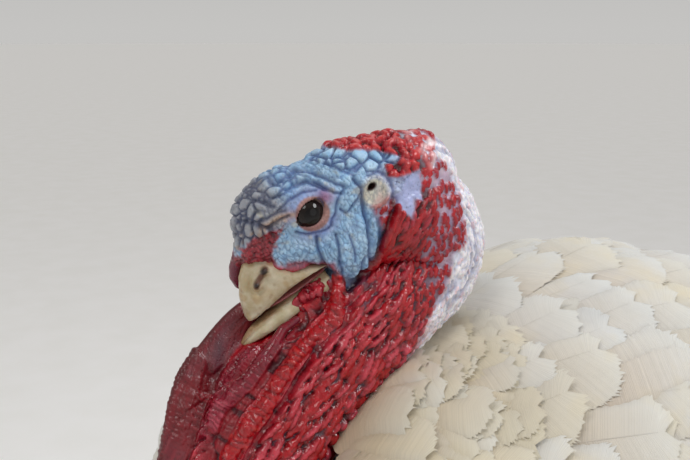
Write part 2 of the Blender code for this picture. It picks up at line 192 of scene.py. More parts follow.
def nodules(points, seed, fill=0.6, stretch=0.5, turn=0.5, present=1.0):
    """Heights from 0 to 1 of scattered oval lumps, one to a unit cell, long along the first axis."""
    base = np.floor(points)
    height = np.zeros(len(points))
    for corner in np.ndindex(3, 3):
        cell = base + np.array(corner) - 1
        random = [noise_hash(cell, seed + 17 * i) for i in range(5)]
        away = points - cell - 0.5 - np.stack((random[0] - 0.5, random[1] - 0.5), -1) * 0.7
        angle = (random[2] - 0.5) * turn
        along = away[:, 0] * np.cos(angle) + away[:, 1] * np.sin(angle)
        aside = away[:, 1] * np.cos(angle) - away[:, 0] * np.sin(angle)
        grown = fill * (0.65 + 0.6 * random[3])
        reach = (along / (grown * (1 + stretch))) ** 2 + (aside / grown) ** 2
        lump = np.sqrt(np.clip(1 - reach, 0, 1)) * (0.7 + 0.3 * random[3])
        height = np.maximum(height, np.where(random[4] < present, lump, 0))
    return height


def catmull(stations, steps):
    """A smooth curve through rows of numbers, with this many steps from each row to the next."""
    rows = np.asarray(stations, float)
    ends = np.vstack((rows[0] * 2 - rows[1], rows, rows[-1] * 2 - rows[-2]))
    made = []
    for a, b, c, d in zip(ends, ends[1:], ends[2:], ends[3:]):
        for t in np.arange(steps) / steps:
            made.append(0.5 * (b * 2 + (c - a) * t + (a * 2 - b * 5 + c * 4 - d) * t * t
                               + (b * 3 - a - c * 3 + d) * t ** 3))
    return np.array([*made, rows[-1]])


# ---------------------------------------------------------------- distances to simple forms

def ellipsoid(p, centre, radii):
    q = p - np.asarray(centre, float)
    radii = np.asarray(radii, float)
    near = length(q / radii)
    return near * (near - 1) / np.maximum(length(q / radii ** 2), 1e-6)


def capsules(p, stations):
    """Distance to a chain of rounded rods. A station is three coordinates and a radius."""
    rows = np.asarray(stations, float)
    best = np.full(len(p), 1e3)
    for a, b in zip(rows, rows[1:]):
        along = b[:3] - a[:3]
        t = np.clip((p - a[:3]) @ along / (along @ along), 0, 1)
        away = length(p - a[:3] - t[:, None] * along) - lerp(a[3], b[3], t)
        best = np.minimum(best, away)
    return best


def stroke_distance(q, line):
    """Distance in the plane to a drawn line, and how far along it the nearest point is."""
    line = np.asarray(line, float)
    best = np.full(len(q), 1e3)
    where = np.zeros(len(q))
    for i, (a, b) in enumerate(zip(line, line[1:])):
        along = b - a
        t = np.clip((q - a) @ along / (along @ along), 0, 1)
        away = length(q - a - t[:, None] * along)
        closer = away < best
        best = np.where(closer, away, best)
        where = np.where(closer, (i + t) / (len(line) - 1), where)
    return best, where


def inside_polygon(q, corners):
    """Signed distance in the plane to a closed outline, below zero inside."""
    corners = np.asarray(corners, float)
    away, _ = stroke_distance(q, np.vstack((corners, corners[:1])))
    crossings = np.zeros(len(q), bool)
    for a, b in zip(corners, np.roll(corners, -1, 0)):
        spans = (a[1] > q[:, 1]) != (b[1] > q[:, 1])
        run = a[0] + (q[:, 1] - a[1]) / np.where(b[1] == a[1], 1e-9, b[1] - a[1]) * (b[0] - a[0])
        crossings ^= spans & (q[:, 0] < run)
    return np.where(crossings, -away, away)


class Sweep:
    """An oval section carried along a line near the middle plane of the bird.

    A station is x, y, z of the middle, half width across the bird and half depth. measure() gives
    the distance, how far along the line the nearest place is, and the turn round it, which is 0 at
    the back and pi at the front.
    """

    def __init__(self, stations, steps=4, cell=1.0):
        self.rows = catmull(stations, steps)
        self.at = self.rows[:, 1:3]
        self.run = np.concatenate(((0,), np.cumsum(length(np.diff(self.at, axis=0)))))
        margin = 75
        self.cell = cell
        self.low = self.at.min(0) - margin
        size = np.ceil((self.at.max(0) + margin - self.low) / cell).astype(int)
        grid = np.stack(np.meshgrid(*[np.arange(n) * cell for n in size], indexing="ij"), -1)
        away = np.stack([self.to_segment(grid + self.low, i)[0] for i in range(len(self.at) - 1)])
        self.nearest = away.argmin(0)

    def to_segment(self, q, i):
        a = self.at[i]
        along = self.at[np.asarray(i) + 1] - a
        t = np.clip(((q - a) * along).sum(-1) / (along * along).sum(-1), 0, 1)
        offset = q - a - t[..., None] * along
        return (offset * offset).sum(-1), t, offset, along

    def measure(self, p):
        q = p[:, 1:3]
        spot = np.clip(((q - self.low) / self.cell).round().astype(int), 0,
                       np.array(self.nearest.shape) - 1)
        guess = self.nearest[spot[:, 0], spot[:, 1]]
        best = None
        for nudge in (0, -1, 1):
            i = np.clip(guess + nudge, 0, len(self.at) - 2)
            found = (*self.to_segment(q, i), i)
            if best is None:
                best = list(found)
                continue
            closer = found[0] < best[0]
            best = [np.where(closer[:, None] if f.ndim > 1 else closer, f, b)
                    for f, b in zip(found, best)]
        squared, t, offset, along, i = best
        row = lerp(self.rows[i], self.rows[i + 1], t[:, None])
        run = lerp(self.run[i], self.run[i + 1], t)
        behind = offset[:, 1] * along[:, 0] - offset[:, 0] * along[:, 1]
        depth = np.sqrt(squared) * np.where(behind < 0, -1, 1)
        across = p[:, 0] - row[:, 0]
        wide, deep = row[:, 3], row[:, 4]
        near = np.hypot(across / wide, depth / deep)
        steep = np.maximum(np.hypot(across / wide ** 2, depth / deep ** 2), 1e-6)
        return near * (near - 1) / steep, run, np.arctan2(across / wide, depth / deep)


# ---------------------------------------------------------------- forms of head and neck

# centre and radii in the head frame; those off the middle are made on both sides
HEAD_FORMS = (
    ((-19, 0, -2), (30, 20.5, 19.5)),      # brain case
    ((-46, 0, -14), (22, 19, 21.5)),       # carunculate crown above the nape
    ((-57, 0, -23), (24, 17, 24)),         # full rear of the crown
    ((8, 0, 6.5), (24, 16.5, 17.3)),       # brow
    ((21.5, 0, 5.0), (11.2, 10.5, 13.5)),  # bulge over the bill
    ((29, 0, -2.8), (10, 10, 8.2)),        # red lore over the root of the bill
    ((5, 0, -12), (26, 16, 18)),           # face
    ((-10, 8.5, -24), (21, 12.5, 21.5)),   # cheek
)
CHIN = ((6, 0, -39), (17, 11, 8))
NECK_STATIONS = (
    (10, -126, 714, 23, 27), (9, -107.5, 709.5, 26.5, 31.5), (6, -95, 694.5, 28.5, 32.5),
    (4, -97, 681, 29, 31.5), (3, -114.5, 670, 30, 32.5), (2, -148, 648.5, 31, 35.5),
    (1, -180, 622.5, 33, 37), (0, -199, 592, 36, 38.5), (0, -206, 560, 40, 40),
    (0, -203, 525, 44, 43),
)
DEWLAP_STATIONS = (
    (-13, -182, 673.5, 4, 5.5), (-15, -191, 661, 5.5, 13), (-11.5, -202, 645, 6.5, 20.5),
    (-6.5, -213, 627, 8, 27), (-2, -220, 604, 9.5, 28), (0, -222, 580, 11, 27),
    (0, -219, 556, 12, 24), (0, -213, 535, 11, 20),
)
SNOOD = (
    (30, -0.5, 0, 4.6), (32, -1, -1, 4.0), (37, -3.5, -4.5, 3.7), (41.4, -6.5, -8.5, 3.4),
    (43.6, -8.4, -13, 3.4), (43.9, -9.6, -17.5, 3.1), (43.3, -10, -21, 2.2),
)
# the horn of the bill and the open mouth, forward and up, where no skin lies
BARE_HORN = (
    (5.6, -29.2), (12.2, -23.8), (24, -18.6), (27.4, -14.5), (27.9, -12.2), (31.7, -10.4), (36.3, -8.4),
    (41.2, -5.4), (45, -1), (80, -1), (80, -41), (61, -42.0), (53, -44.8), (38, -45.4), (31, -44.6),
    (27.9, -41.5), (27.8, -37.0), (24, -35.4), (18, -35.6), (12, -37.2), (7, -36.6), (5.6, -33.0),
)
# beaded cords from the corner of the mouth down the front of the neck, x, y, z and radius
GAPE_CORD = (
    (16, -158.5, 686, 2.6), (16.5, -157.7, 682, 3.2), (19.2, -159.3, 676, 3.4), (22.6, -166, 667.5, 3.4),
    (22.4, -177.4, 660.5, 3.1), (23.2, -185, 654.5, 3.0), (23.6, -192.8, 647.5, 3.3),
    (24.4, -200, 639.5, 3.4), (24.6, -206, 632, 3.5), (23.4, -214.5, 623.5, 3.6),
    (22.6, -221.5, 614.5, 3.8), (22.5, -227, 600, 4.0), (23, -229, 580, 4.2), (23, -228, 548, 4.4),
)
# the furrow between the cord and the fold, painted dark as shade
HOLLOW = (
    (15, -170.7, 671.5, 1.0), (14.8, -178.4, 666.5, 1.2), (18, -190, 655, 0.8), (18.5, -200, 645.5, 0.8),
    (16.4, -210.2, 637, 1.8), (14.5, -217, 630.5, 2.4), (15.6, -221.5, 622.5, 3.0), (14.8, -226.3, 615, 3.0),
    (14, -229.5, 600, 2.4), (13, -230.5, 575, 2.2), (12, -229, 552, 2.0),
)
HOLLOW_REACH = 3.0
# the thick lip of the fold under the bill, which turns in at its lower end
FOLD_CORD = (
    (12.4, -179.7, 667.2, 1.8), (11.5, -187, 663.5, 2.4), (12.8, -193, 656.8, 3.0),
    (13.6, -201.4, 648.6, 3.4), (13.4, -208.1, 641.5, 3.6), (11.2, -216, 635.5, 3.7),
    (8.6, -219.8, 631, 3.7), (8.6, -223, 626, 3.4), (10.2, -223.2, 620.5, 2.4),
)
# the furrow between the dewlap and that fold, y and z
VALLEY = (
    (-201, 668), (-209, 660), (-214, 648), (-217, 638), (-220, 627), (-226, 612), (-231, 590), (-232, 560),
)
BASE_CARUNCLES = (
    (0, -250, 562, 13), (0, -259, 546, 14), (0, -266, 530, 13), (14, -247, 553, 14),
    (13, -258, 537, 13), (27, -241, 546, 13), (26, -251, 531, 11), (38, -230, 556, 12),
)
NECK = Sweep(NECK_STATIONS)
DEWLAP = Sweep(DEWLAP_STATIONS)
BILL_PATCH_AT = np.array((18.6, 8.9, -37.9))   # cushion of red flesh on the rear of the lower bill
BILL_PATCH_LIE = (0.97, -0.24)
BILL_PATCH_RADII = (6.6, 2.0, 1.9)
LID_OPENING = np.array((7.1, 5.0))         # half length and half height of the ring round the ball


def eye_socket(d, folded):
    """Adds the lids round the ball of the eye, and opens them."""
    lid = ellipsoid(folded, (EYE_AT[0] - 0.4, 10.6, EYE_AT[2] + 0.3), (12.6, 8.6, 10.4))
    d = smooth_min(d, lid, 4.0)
    out = folded - EYE_AT
    ball = length(out) - (EYE_RADIUS + 0.9)
    d = smooth_min(d, ball, 1.2)
    along, up = out[:, 0] * 0.985 - out[:, 2] * 0.17, out[:, 2] * 0.985 + out[:, 0] * 0.17 - 0.9
    flare = np.clip(out[:, 1] - 5.6, 0, 6)
    corner = 1 + 0.16 * smoothstep(3, 8, np.abs(along))
    ring = np.hypot(along / (LID_OPENING[0] + flare * 0.85) / corner,
                    up / (LID_OPENING[1] + flare * 0.5)) - 1
    opening = np.maximum(ring * 5.5, 3.0 - out[:, 1])
    return smooth_max(d, -opening, 0.9)


def tilted_patch(folded):
    """Places round the red cushion on the rear of the lower bill, along it, outward and across it."""
    away = folded - BILL_PATCH_AT
    along, across = BILL_PATCH_LIE
    lengthwise = away[:, 0] * along - away[:, 2] * across
    crosswise = away[:, 2] * along + away[:, 0] * across
    return np.stack((lengthwise, away[:, 1], crosswise), -1)


def flesh(p):
    """Signed distance to the bare head and neck."""
    h = to_head(p)
    folded = h * np.array((1, 0, 1)) + np.abs(h) * np.array((0, 1, 0))
    d = np.full(len(p), 1e3)
    for centre, radii in HEAD_FORMS:
        d = smooth_min(d, ellipsoid(folded if centre[1] else h, centre, radii), 5.0)
    neck, _, _ = NECK.measure(p)
    upper = smoothstep(-24, 0, h[:, 2]) * smoothstep(-10, -30, h[:, 0])
    d = smooth_min(d, neck, 1.8 + 9 * upper)
    d = smooth_min(d, ellipsoid(h, *CHIN), 2.5)
    d = eye_socket(d, folded)
    horn = inside_polygon(h[:, [0, 2]], BARE_HORN)
    d = smooth_max(d, -horn, 1.3)
    d = smooth_min(d, ellipsoid(h, (20, 0, -31.4), (24, 9.4, 1.7)), 0.8)
    d = smooth_min(d, ellipsoid(tilted_patch(folded), (0, 0, 0), BILL_PATCH_RADII), 1.0)
    d = smooth_min(d, capsules(h, SNOOD), 3.0)
    dewlap, _, _ = DEWLAP.measure(p)
    d = smooth_min(d, dewlap, 5.0)
    mirrored = p * np.array((0, 1, 1)) + np.abs(p) * np.array((1, 0, 0))
    d = smooth_min(d, capsules(mirrored, GAPE_CORD), 2.2)
    d = smooth_min(d, capsules(mirrored, FOLD_CORD), 2.2)
    for x, y, z, radius in BASE_CARUNCLES:
        d = smooth_min(d, length(mirrored - np.array((x, y, z))) - radius + 1.0, 3.0)
    ear = folded - EAR_AT
    hole = length(ear * np.array((0.8, 0.35, 1.3)) - np.array((-0.6, 0.4, 3.9))) - 1.7
    dish = ellipsoid(folded, EAR_AT + np.array((0, 3.4, 0)), (6.0, 2.2, 6.0))
    d = smooth_max(d, -dish, 1.2)
    return smooth_max(d, -hole, 0.7)


def slope(field, p, step=0.25):
    """Outward directions of a distance field."""
    offsets = np.eye(3) * step
    return unit(np.stack([field(p + o) - field(p - o) for o in offsets], -1))


# ---------------------------------------------------------------- meshes from distance fields

def near_surface(field, axes, reach):
    """The field on a grid, exact near the surface and rough elsewhere."""
    stride = 4
    coarse = [axis[::stride] for axis in axes]
    grid = np.stack(np.meshgrid(*coarse, indexing="ij"), -1).reshape(-1, 3)
    rough = chunked(field, grid).reshape([len(a) for a in coarse])
    full = rough
    for i in range(3):
        full = np.repeat(full, stride, axis=i)
    full = full[tuple(slice(0, len(a)) for a in axes)].copy()
    close = np.zeros(rough.shape, bool)
    close[np.abs(rough) < reach] = True
    wanted = close
    for i in range(3):
        wanted = np.repeat(wanted, stride, axis=i)
    wanted = wanted[tuple(slice(0, len(a)) for a in axes)]
    spots = np.argwhere(wanted)
    points = np.stack([axes[i][spots[:, i]] for i in range(3)], -1)
    full[wanted] = chunked(field, points)
    return full


def chunked(field, points, size=200000):
    return np.concatenate([field(points[i:i + size]) for i in range(0, len(points), size)])


def surface_net(values, axes):
    """Quads along the zero surface of a grid of values, with one vertex to each crossed cell."""
    inside = values < 0
    shape = np.array(values.shape) - 1
    corners = list(np.ndindex(2, 2, 2))
    view = {c: tuple(slice(c[i], c[i] + shape[i]) for i in range(3)) for c in corners}
    count = sum(inside[view[c]].astype(np.int8) for c in corners)
    active = np.argwhere((count > 0) & (count < 8))
    corner_value = {c: values[tuple((active + c).T)] for c in corners}
    corner_at = {c: np.stack([axes[i][active[:, i] + c[i]] for i in range(3)], -1) for c in corners}
    total, hits = np.zeros((len(active), 3)), np.zeros(len(active))
    for a in corners:
        for i in range(3):
            if a[i]:
                continue
            b = tuple(1 if j == i else a[j] for j in range(3))
            va, vb = corner_value[a], corner_value[b]
            crossed = (va < 0) != (vb < 0)
            t = np.where(crossed, va / np.where(va == vb, 1, va - vb), 0)
            total += np.where(crossed[:, None], corner_at[a] + (corner_at[b] - corner_at[a]) * t[:, None], 0)
            hits += crossed
    verts = total / hits[:, None]
    index = np.full(shape, -1, np.int64)
    index[tuple(active.T)] = np.arange(len(active))
    quads = []
    for i in range(3):
        j, k = (i + 1) % 3, (i + 2) % 3
        low = [slice(None)] * 3
        high = [slice(None)] * 3
        low[i], high[i] = slice(0, -1), slice(1, None)
        for other in (j, k):
            low[other] = high[other] = slice(1, -1)
        a, b = inside[tuple(low)], inside[tuple(high)]
        for found, turned in ((a & ~b, False), (~a & b, True)):
            at = np.argwhere(found)
            at[:, j] += 1
            at[:, k] += 1
            steps = [(-1, -1), (0, -1), (0, 0), (-1, 0)]
            if turned:
                steps = steps[::-1]
            ring = []
            for dj, dk in steps:
                cell = at.copy()
                cell[:, j] += dj
                cell[:, k] += dk
                ring.append(index[tuple(cell.T)])
            quads.append(np.stack(ring, -1))
    return verts, np.concatenate(quads)


def finer(verts, quads, chosen):
    """Splits the chosen quads in four; a neighbour takes the new points on its edges too."""
    edges = np.stack((quads, np.roll(quads, -1, 1)), -1)
    keys = np.sort(edges, -1)
    code = keys[..., 0] * (len(verts) + 1) + keys[..., 1]
    split = np.unique(code[chosen])
    middles = np.stack((split // (len(verts) + 1), split % (len(verts) + 1)), -1)
    edge_points = verts[middles].mean(1)
    centres = verts[quads[chosen]].mean(1)
    first_edge, first_centre = len(verts), len(verts) + len(split)
    place = np.searchsorted(split, code)
    place = np.clip(place, 0, len(split) - 1)
    has = split[place] == code
    mid = np.where(has, first_edge + place, -1)
    q, m = quads[chosen], mid[chosen]
    c = first_centre + np.arange(len(q))
    small = np.concatenate([np.stack((q[:, i], m[:, i], c, m[:, i - 1]), -1) for i in range(4)])
    rest, rest_mid = quads[~chosen], mid[~chosen]
    plain = (rest_mid < 0).all(1)
    mixed = []
    for face, marks in zip(rest[~plain], rest_mid[~plain]):
        loop = []
        for corner, mark in zip(face, marks):
            loop.append(int(corner))
            if mark >= 0:
                loop.append(int(mark))
        mixed.append(loop)
    verts = np.concatenate((verts, edge_points, centres))
    return verts, np.concatenate((rest[plain], small)), mixed


def settle(field, verts, times=2, limit=0.6):
    """Moves vertices onto the zero surface."""
    for _ in range(times):
        d = chunked(field, verts)
        verts = verts - slope(field, verts) * np.clip(d, -limit, limit)[:, None]
    return verts


# ---------------------------------------------------------------- Blender objects

def new_mesh(name, verts, faces, smooth=True):
    """An object from points in millimetres of the bird's frame. Faces are lists, or arrays by size."""
    groups = [f for f in faces if isinstance(f, np.ndarray)]
    loose = [f for f in faces if not isinstance(f, np.ndarray)]
    counts = [np.full(len(g), g.shape[1]) for g in groups] + [np.array([len(f) for f in loose], int)]
    flat = [g.ravel() for g in groups] + [np.array([v for f in loose for v in f], int)]
    counts, flat = np.concatenate(counts), np.concatenate(flat)
    points = (np.asarray(verts, float) + SHIFT) * MM
    mesh = bpy.data.meshes.new(name)
    mesh.vertices.add(len(points))
    mesh.vertices.foreach_set("co", points.astype(np.float32).ravel())
    mesh.loops.add(len(flat))
    mesh.loops.foreach_set("vertex_index", flat.astype(np.int32))
    mesh.polygons.add(len(counts))
    starts = np.concatenate(((0,), np.cumsum(counts)[:-1]))
    mesh.polygons.foreach_set("loop_start", starts.astype(np.int32))
    mesh.polygons.foreach_set("loop_total", counts.astype(np.int32))
    mesh.polygons.foreach_set("use_smooth", np.full(len(counts), smooth))
    mesh.update(calc_edges=True)
    obj = bpy.data.objects.new(name, mesh)
    bpy.context.scene.collection.objects.link(obj)
    return obj


def store(obj, name, values):
    """Keeps a colour or a number at each vertex for the material to read."""
    values = np.asarray(values, np.float32)
    if values.ndim == 2:
        made = obj.data.color_attributes.new(name, "FLOAT_COLOR", "POINT")
        values = np.column_stack((values, np.ones(len(values)))).astype(np.float32)
        made.data.foreach_set("color", values.ravel())
    else:
        made = obj.data.attributes.new(name, "FLOAT", "POINT")
        made.data.foreach_set("value", values)


# ---------------------------------------------------------------- folds, caruncles and their colours

# creases of the face, forward and up in the head frame; depth and half width follow each line
CREASES = (
    (((-19, 0.7), (-15.4, -0.8), (-12.5, -3.2), (-8.6, -7.6)), 1.0, 0.9),
    (((10.5, -4.4), (6.5, -8.2), (2, -10.4), (-1.5, -11.6), (-4.6, -10.9), (-7.8, -8)), 1.3, 0.9),
    (((-9.7, 10.4), (-11.6, 6.3), (-13.8, 2.5), (-16.8, -0.3)), 1.0, 1.0),
    (((4.4, -11.7), (7.3, -18.5), (7.7, -24.3), (7.3, -30.2), (6.5, -34.2)), 1.5, 1.0),
    (((-3.4, -15.7), (-2.2, -21.9), (-0.1, -24.5), (1.7, -28.8), (2.6, -34.7), (4.2, -42)), 1.4, 0.9),
    (((-26, 1.5), (-26.4, -4), (-24.6, -8), (-22.1, -13.9), (-19.4, -22), (-16.4, -29.2),
      (-12.2, -35.6), (-11.2, -42.3)), 1.9, 1.2),
    (((-24.7, -6.6), (-18.2, -9.6), (-13.5, -10.4), (-12.5, -6.9)), 0.9, 0.8),
    (((-25.4, -20.7), (-23.5, -26.7), (-20.8, -32.3), (-17, -39)), 1.3, 1.0),
    (((-29.5, -20.5), (-27.5, -26.5), (-23.4, -33), (-19.4, -38)), 1.0, 0.8),
    (((-10.1, -34.7), (-6.9, -38), (-5, -41.4), (-2.1, -43.9), (0.5, -46)), 1.3, 0.9),
    (((-11.5, -43), (-7.8, -45.5), (-5.1, -47.5)), 1.0, 0.8),
    (((-9, -20), (-7.6, -27), (-5, -33)), 0.7, 0.8),
    (((11.2, 15.6), (5.1, 14.7), (-0.4, 14.3), (-6.8, 12.4), (-11.5, 6)), 1.2, 1.1),
    (((7, 20.1), (0.1, 19.1), (-6.7, 18.6), (-10.5, 15.4), (-13.4, 11.2), (-19.3, 1.6)), 1.3, 1.2),
    (((13, 9.5), (6, 10.6), (-2, 10.3), (-8, 7.5)), 0.8, 0.8),
    (((9.5, 4.5), (15.5, 5.6), (21, 5.0)), 1.1, 0.9),
    (((9.8, 7.6), (16, 9.6), (22, 9.2)), 0.7, 0.9),
    (((30, 14.5), (25, 10.5), (21.5, 5), (20.5, -1)), 1.1, 1.1),
    (((21, 21.5), (16.5, 17), (13.5, 12.5)), 1.0, 1.0),
    (((-20, 14), (-24, 7), (-27, 3)), 0.9, 1.0),
    (((-33, -1.5), (-38.5, -3), (-41, -9), (-38.6, -16), (-33, -20.5), (-27.5, -19.5)), 0.9, 1.0),
)
# the edge of the jaw, where the blue face folds over the red neck
JAW_EDGE = ((-37.6, -17.8), (-34.1, -21.5), (-28.6, -25.3), (-23.4, -29.3), (-19.5, -34.3), (-15.7, -37.8),
            (-9.3, -41.8), (-1.3, -43.9), (6.4, -44))
RIDGES = (
    (((-23.2, -21.5), (-22, -27.7), (-18.8, -34), (-14.5, -40)), 1.0, 1.6),
    (((-28, -22.2), (-25.4, -28.9), (-21.4, -35)), 0.7, 1.2),
    (((-44.3, -15), (-38.5, -21.4), (-33.2, -25.4), (-28, -29.5)), 0.9, 1.0),
    (((0, 16.8), (-6, 15.8), (-10, 12)), 0.6, 1.5),
)
BLUE_FACE = (
    (44, 0), (38, 12), (26, 24), (8, 27), (-8, 23), (-26, 17.5), (-33, 11.5), (-39, 7.5), (-45, 3.5),
    (-50, -1), (-52.5, -6), (-53, -11), (-48, -15), (-42, -17), (-37.6, -17.8), (-34.1, -21.5),
    (-28.6, -25.3), (-23.4, -29.3), (-19.5, -34.3), (-15.7, -37.8), (-9.3, -41.8), (-1.3, -43.9), (5, -44),
    (7, -41), (8.5, -38), (8, -31), (6, -29), (12.2, -23.5), (24, -17.5), (27, -13),
    (32, -11.5), (38, -9.5), (44, -5),
)
LORE = (
    (42, -3), (38.8, -1.2), (35.5, 1.0), (30, 3.3), (24, 3.3), (17, 2.4), (14.5, 1.6), (17.6, -1),
    (21.5, -3.8), (24.5, -8), (26, -13), (27.5, -14.5), (32, -13), (38, -10.5), (43, -7),
)

BLUE = linear(134, 180, 220)
BLUE_LIGHT = linear(178, 208, 230)
BLUE_GREY = linear(150, 150, 156)
VIOLET = linear(118, 112, 182)
MAUVE = linear(176, 118, 158)
OCHRE = linear(196, 160, 128)
LAVENDER = linear(176, 180, 214)
CREAM = linear(200, 190, 156)
CRIMSON = linear(158, 30, 46)
RED = linear(180, 24, 36)
DEEP_RED = linear(78, 6, 18)
PALE = linear(222, 222, 238)
WHITISH = linear(246, 242, 246)
PLUM = linear(84, 44, 84)
PINK = linear(216, 104, 124)
LID_RING = linear(166, 124, 118)
LAVENDER_BLUE = linear(158, 168, 214)
MOUTH = linear(150, 96, 92)
CREST_HIGHLIGHT = linear(206, 60, 52)
LUMP_HIGHLIGHT = linear(228, 92, 106)
LUMP_FOOT_SHADE = linear(84, 6, 18)
FURROW_SHADE_RED = linear(56, 5, 16)
DEWLAP_MAUVE = linear(148, 70, 92)
DEWLAP_PALE = linear(178, 104, 122)
DEWLAP_DARK = linear(104, 34, 56)
DEWLAP_EDGE = linear(112, 16, 32)
APRON_RED = linear(140, 26, 48)
APRON_PALE = linear(196, 76, 98)
CORD_RED = linear(176, 24, 34)
CORD_HIGHLIGHT = linear(212, 76, 58)
LIP_RED = linear(150, 34, 58)
LIP_HIGHLIGHT = linear(208, 100, 118)
LIP_SHADE_UNDER_BILL = linear(128, 22, 42)
CORD_GROOVE_SHADE = linear(92, 8, 24)
HOLLOW_SHADE_RED = linear(88, 14, 30)
HOLLOW_BEAD = linear(156, 26, 42)
SNOOD_PLUM = linear(112, 38, 62)
LID_CORNER = linear(110, 62, 66)
EAR_DISH = linear(208, 205, 190)
EAR_HOLE_SHADE = linear(60, 34, 30)
CHIN_RED = linear(134, 24, 44)
PEBBLE_RED = linear(132, 18, 36)
PEBBLE_HIGHLIGHT = linear(200, 60, 74)
LORE_RED = linear(112, 12, 28)


# which way the nodules and wrinkles run: forward, up, and the direction forward and up
FLOW = (
    (-31.7, -28.3, 0.94, -0.35), (-4.6, -39.5, 0.97, -0.25), (-48.3, -30.5, 0.86, -0.51),
    (-68.5, -36.2, 0.43, -0.90), (-59.9, -55.5, 0.58, -0.82), (-40.0, -66.6, 0.73, -0.68),
    (-21.0, -65.1, 0.87, -0.49), (-0.8, -55.9, 0.98, -0.20), (-56.2, -6.7, 0.35, -0.94),
    (-47.4, -6.6, 0.51, -0.86), (-59.1, -23.3, 0.60, -0.80), (10.0, 18.0, 0.1, -1.0), (36.0, 8.0, -0.2, -1.0),
)
NAPE_EDGE = ((-67.5, -11.2), (-71.7, -23.9), (-71.3, -33.6), (-69.4, -43.6), (-65.1, -53.3), (-60.3, -62.8),
             (-50, -64), (-44.3, -71.5), (-37.1, -77.4), (-27.8, -79.8), (-19, -84), (-5, -92), (14, -102),
             (14, -150), (-110, -150), (-110, -11.2))
BEHIND_EAR = ((-40, -7), (-44.1, -10.8), (-51.2, -13.5), (-57.6, -14.9), (-49.8, -27.9), (-46.4, -25.5),
              (-39.8, -32.4), (-36.8, -24), (-38.1, -18))
PALE_GAP = ((-54.8, -16.5), (-62.7, -20.5), (-70, -22), (-78, -26), (-78, -38), (-72.5, -37), (-64, -30),
            (-56, -26))
CREST_EDGE = ((-23, 26), (-24.9, 19.6), (-32.2, 12.6), (-41.9, 6.2), (-48, 0.7), (-52.2, -4.4), (-48.5, -5.5),
              (-43, -3), (-40.5, -7.5), (-46.5, -14.5), (-52.5, -14.2), (-57.4, -17), (-63.4, -20),
              (-69, -17), (-74, -10), (-70, 4), (-50, 30))
CROWN_EDGE = ((-6, 32), (-8, 22), (-16.9, 15.5), (-23.5, 8.0), (-30.6, 0.8), (-41.8, -4), (-52, -7.5),
              (-62, -4), (-60, 20), (-30, 40))
# smooth red strands along the jaw: their lines, height and half width
JAW_STRANDS = (
    (((-36.1, -22.9), (-29, -28.6), (-23.3, -33.9), (-18.9, -38.6), (-14.2, -42.3), (-5, -44.6), (5.7, -45.8),
      (15.4, -46.6)), 2.2, 1.9),
    (((-37, -26.5), (-30.2, -30.9), (-24.9, -36.4), (-19.5, -42), (-14.8, -45.7), (-6.5, -48), (3.3, -49.6),
      (11.9, -50.5)), 1.6, 1.3),
    (((-37.2, -35.8), (-29.2, -41), (-23.6, -44.8), (-18.7, -47.6), (-10.4, -50.3), (-0.2, -52.8),
      (7.7, -55)), 1.4, 1.3),
)


def lie(h, outward, run):
    """Unit directions along the wrinkles, for places in the head's frame with outward directions."""
    q = h[:, [0, 2]]
    weight = np.zeros(len(h))
    drift = np.zeros((len(h), 2))
    for forward, up, df, du in FLOW:
        near = 1 / (36 + ((q - (forward, up)) ** 2).sum(-1)) ** 2
        weight += near
        drift += near[:, None] * np.array((df, du))
    drift = unit(drift / weight[:, None])
    along = HEAD_AXES @ unit(np.array((0.0, -0.76, -0.65)))
    low = smoothstep(70, 105, run)[:, None]
    drift = np.stack((drift[:, 0], np.zeros(len(h)), drift[:, 1]), -1) * (1 - low) + along * low
    return unit(drift - outward * (drift * outward).sum(-1)[:, None])


MOST_LUMPS = 9000


def place_nodules(h, flow, outward, sizes, present, yaw, pack, seed, most=60000):
    """Oval lumps thrown on the skin so that they don't overlap: their places, axes and half sizes."""
    rng = np.random.default_rng(seed)
    wanted = np.flatnonzero(rng.random(len(h)) < present)
    wanted = rng.permutation(wanted)[:most]
    turn = yaw[wanted] * rng.uniform(-1, 1, len(wanted))
    side = np.cross(outward[wanted], flow[wanted])
    axis = unit(flow[wanted] * np.cos(turn)[:, None] + side * np.sin(turn)[:, None])
    half = sizes[wanted] * rng.uniform(0.78, 1.25, (len(wanted), 1))
    half = half * rng.uniform(0.88, 1.12, (len(wanted), 2))
    chosen = np.zeros(len(wanted), int)
    count = 0
    at, long, wide = np.zeros((MOST_LUMPS, 3)), np.zeros(MOST_LUMPS), np.zeros(MOST_LUMPS)
    for i, v in enumerate(wanted):
        if count:
            gap = at[:count] - h[v]
            along = gap @ axis[i]
            far = (gap * gap).sum(-1) - along * along
            room = (along / (long[:count] + half[i, 0])) ** 2 + far / (wide[:count] + half[i, 1]) ** 2
            if room.min() < pack[v]:
                continue
        at[count], long[count], wide[count] = h[v], half[i, 0], half[i, 1]
        chosen[count] = i
        count += 1
        if count == len(at):
            break
    chosen = chosen[:count]
    return h[wanted[chosen]], axis[chosen], half[chosen]


def nodule_relief(h, outward, placed, tight=8):
    """How high the nearest lumps stand at each place, 0 to 1, and which of them is the highest."""
    at, axis, half = placed
    tree = KDTree(len(at))
    for i, place in enumerate(at):
        tree.insert(place, i)
    tree.balance()
    near = np.array([[found[1] for found in tree.find_n(place, tight)] for place in h])
    gap = h[:, None, :] - at[near]
    along = (gap * axis[near]).sum(-1)
    off = gap - along[..., None] * axis[near]
    off = off - outward[:, None, :] * (off * outward[:, None, :]).sum(-1)[..., None]
    across = length(off)
    uneven = 1 + 0.16 * np.sin(near * 2.4 + along * 1.1) + 0.10 * np.sin(near * 5.1 - along * 2.3)
    t = (np.abs(along) / half[near, 0]) ** 2.4 + (across / (half[near, 1] * uneven)) ** 2.1
    high = np.sqrt(np.clip(1 - t, 0, 1))
    best = high.argmax(1)
    row = np.arange(len(h))
    return high[row, best], near[row, best], t.min(1)


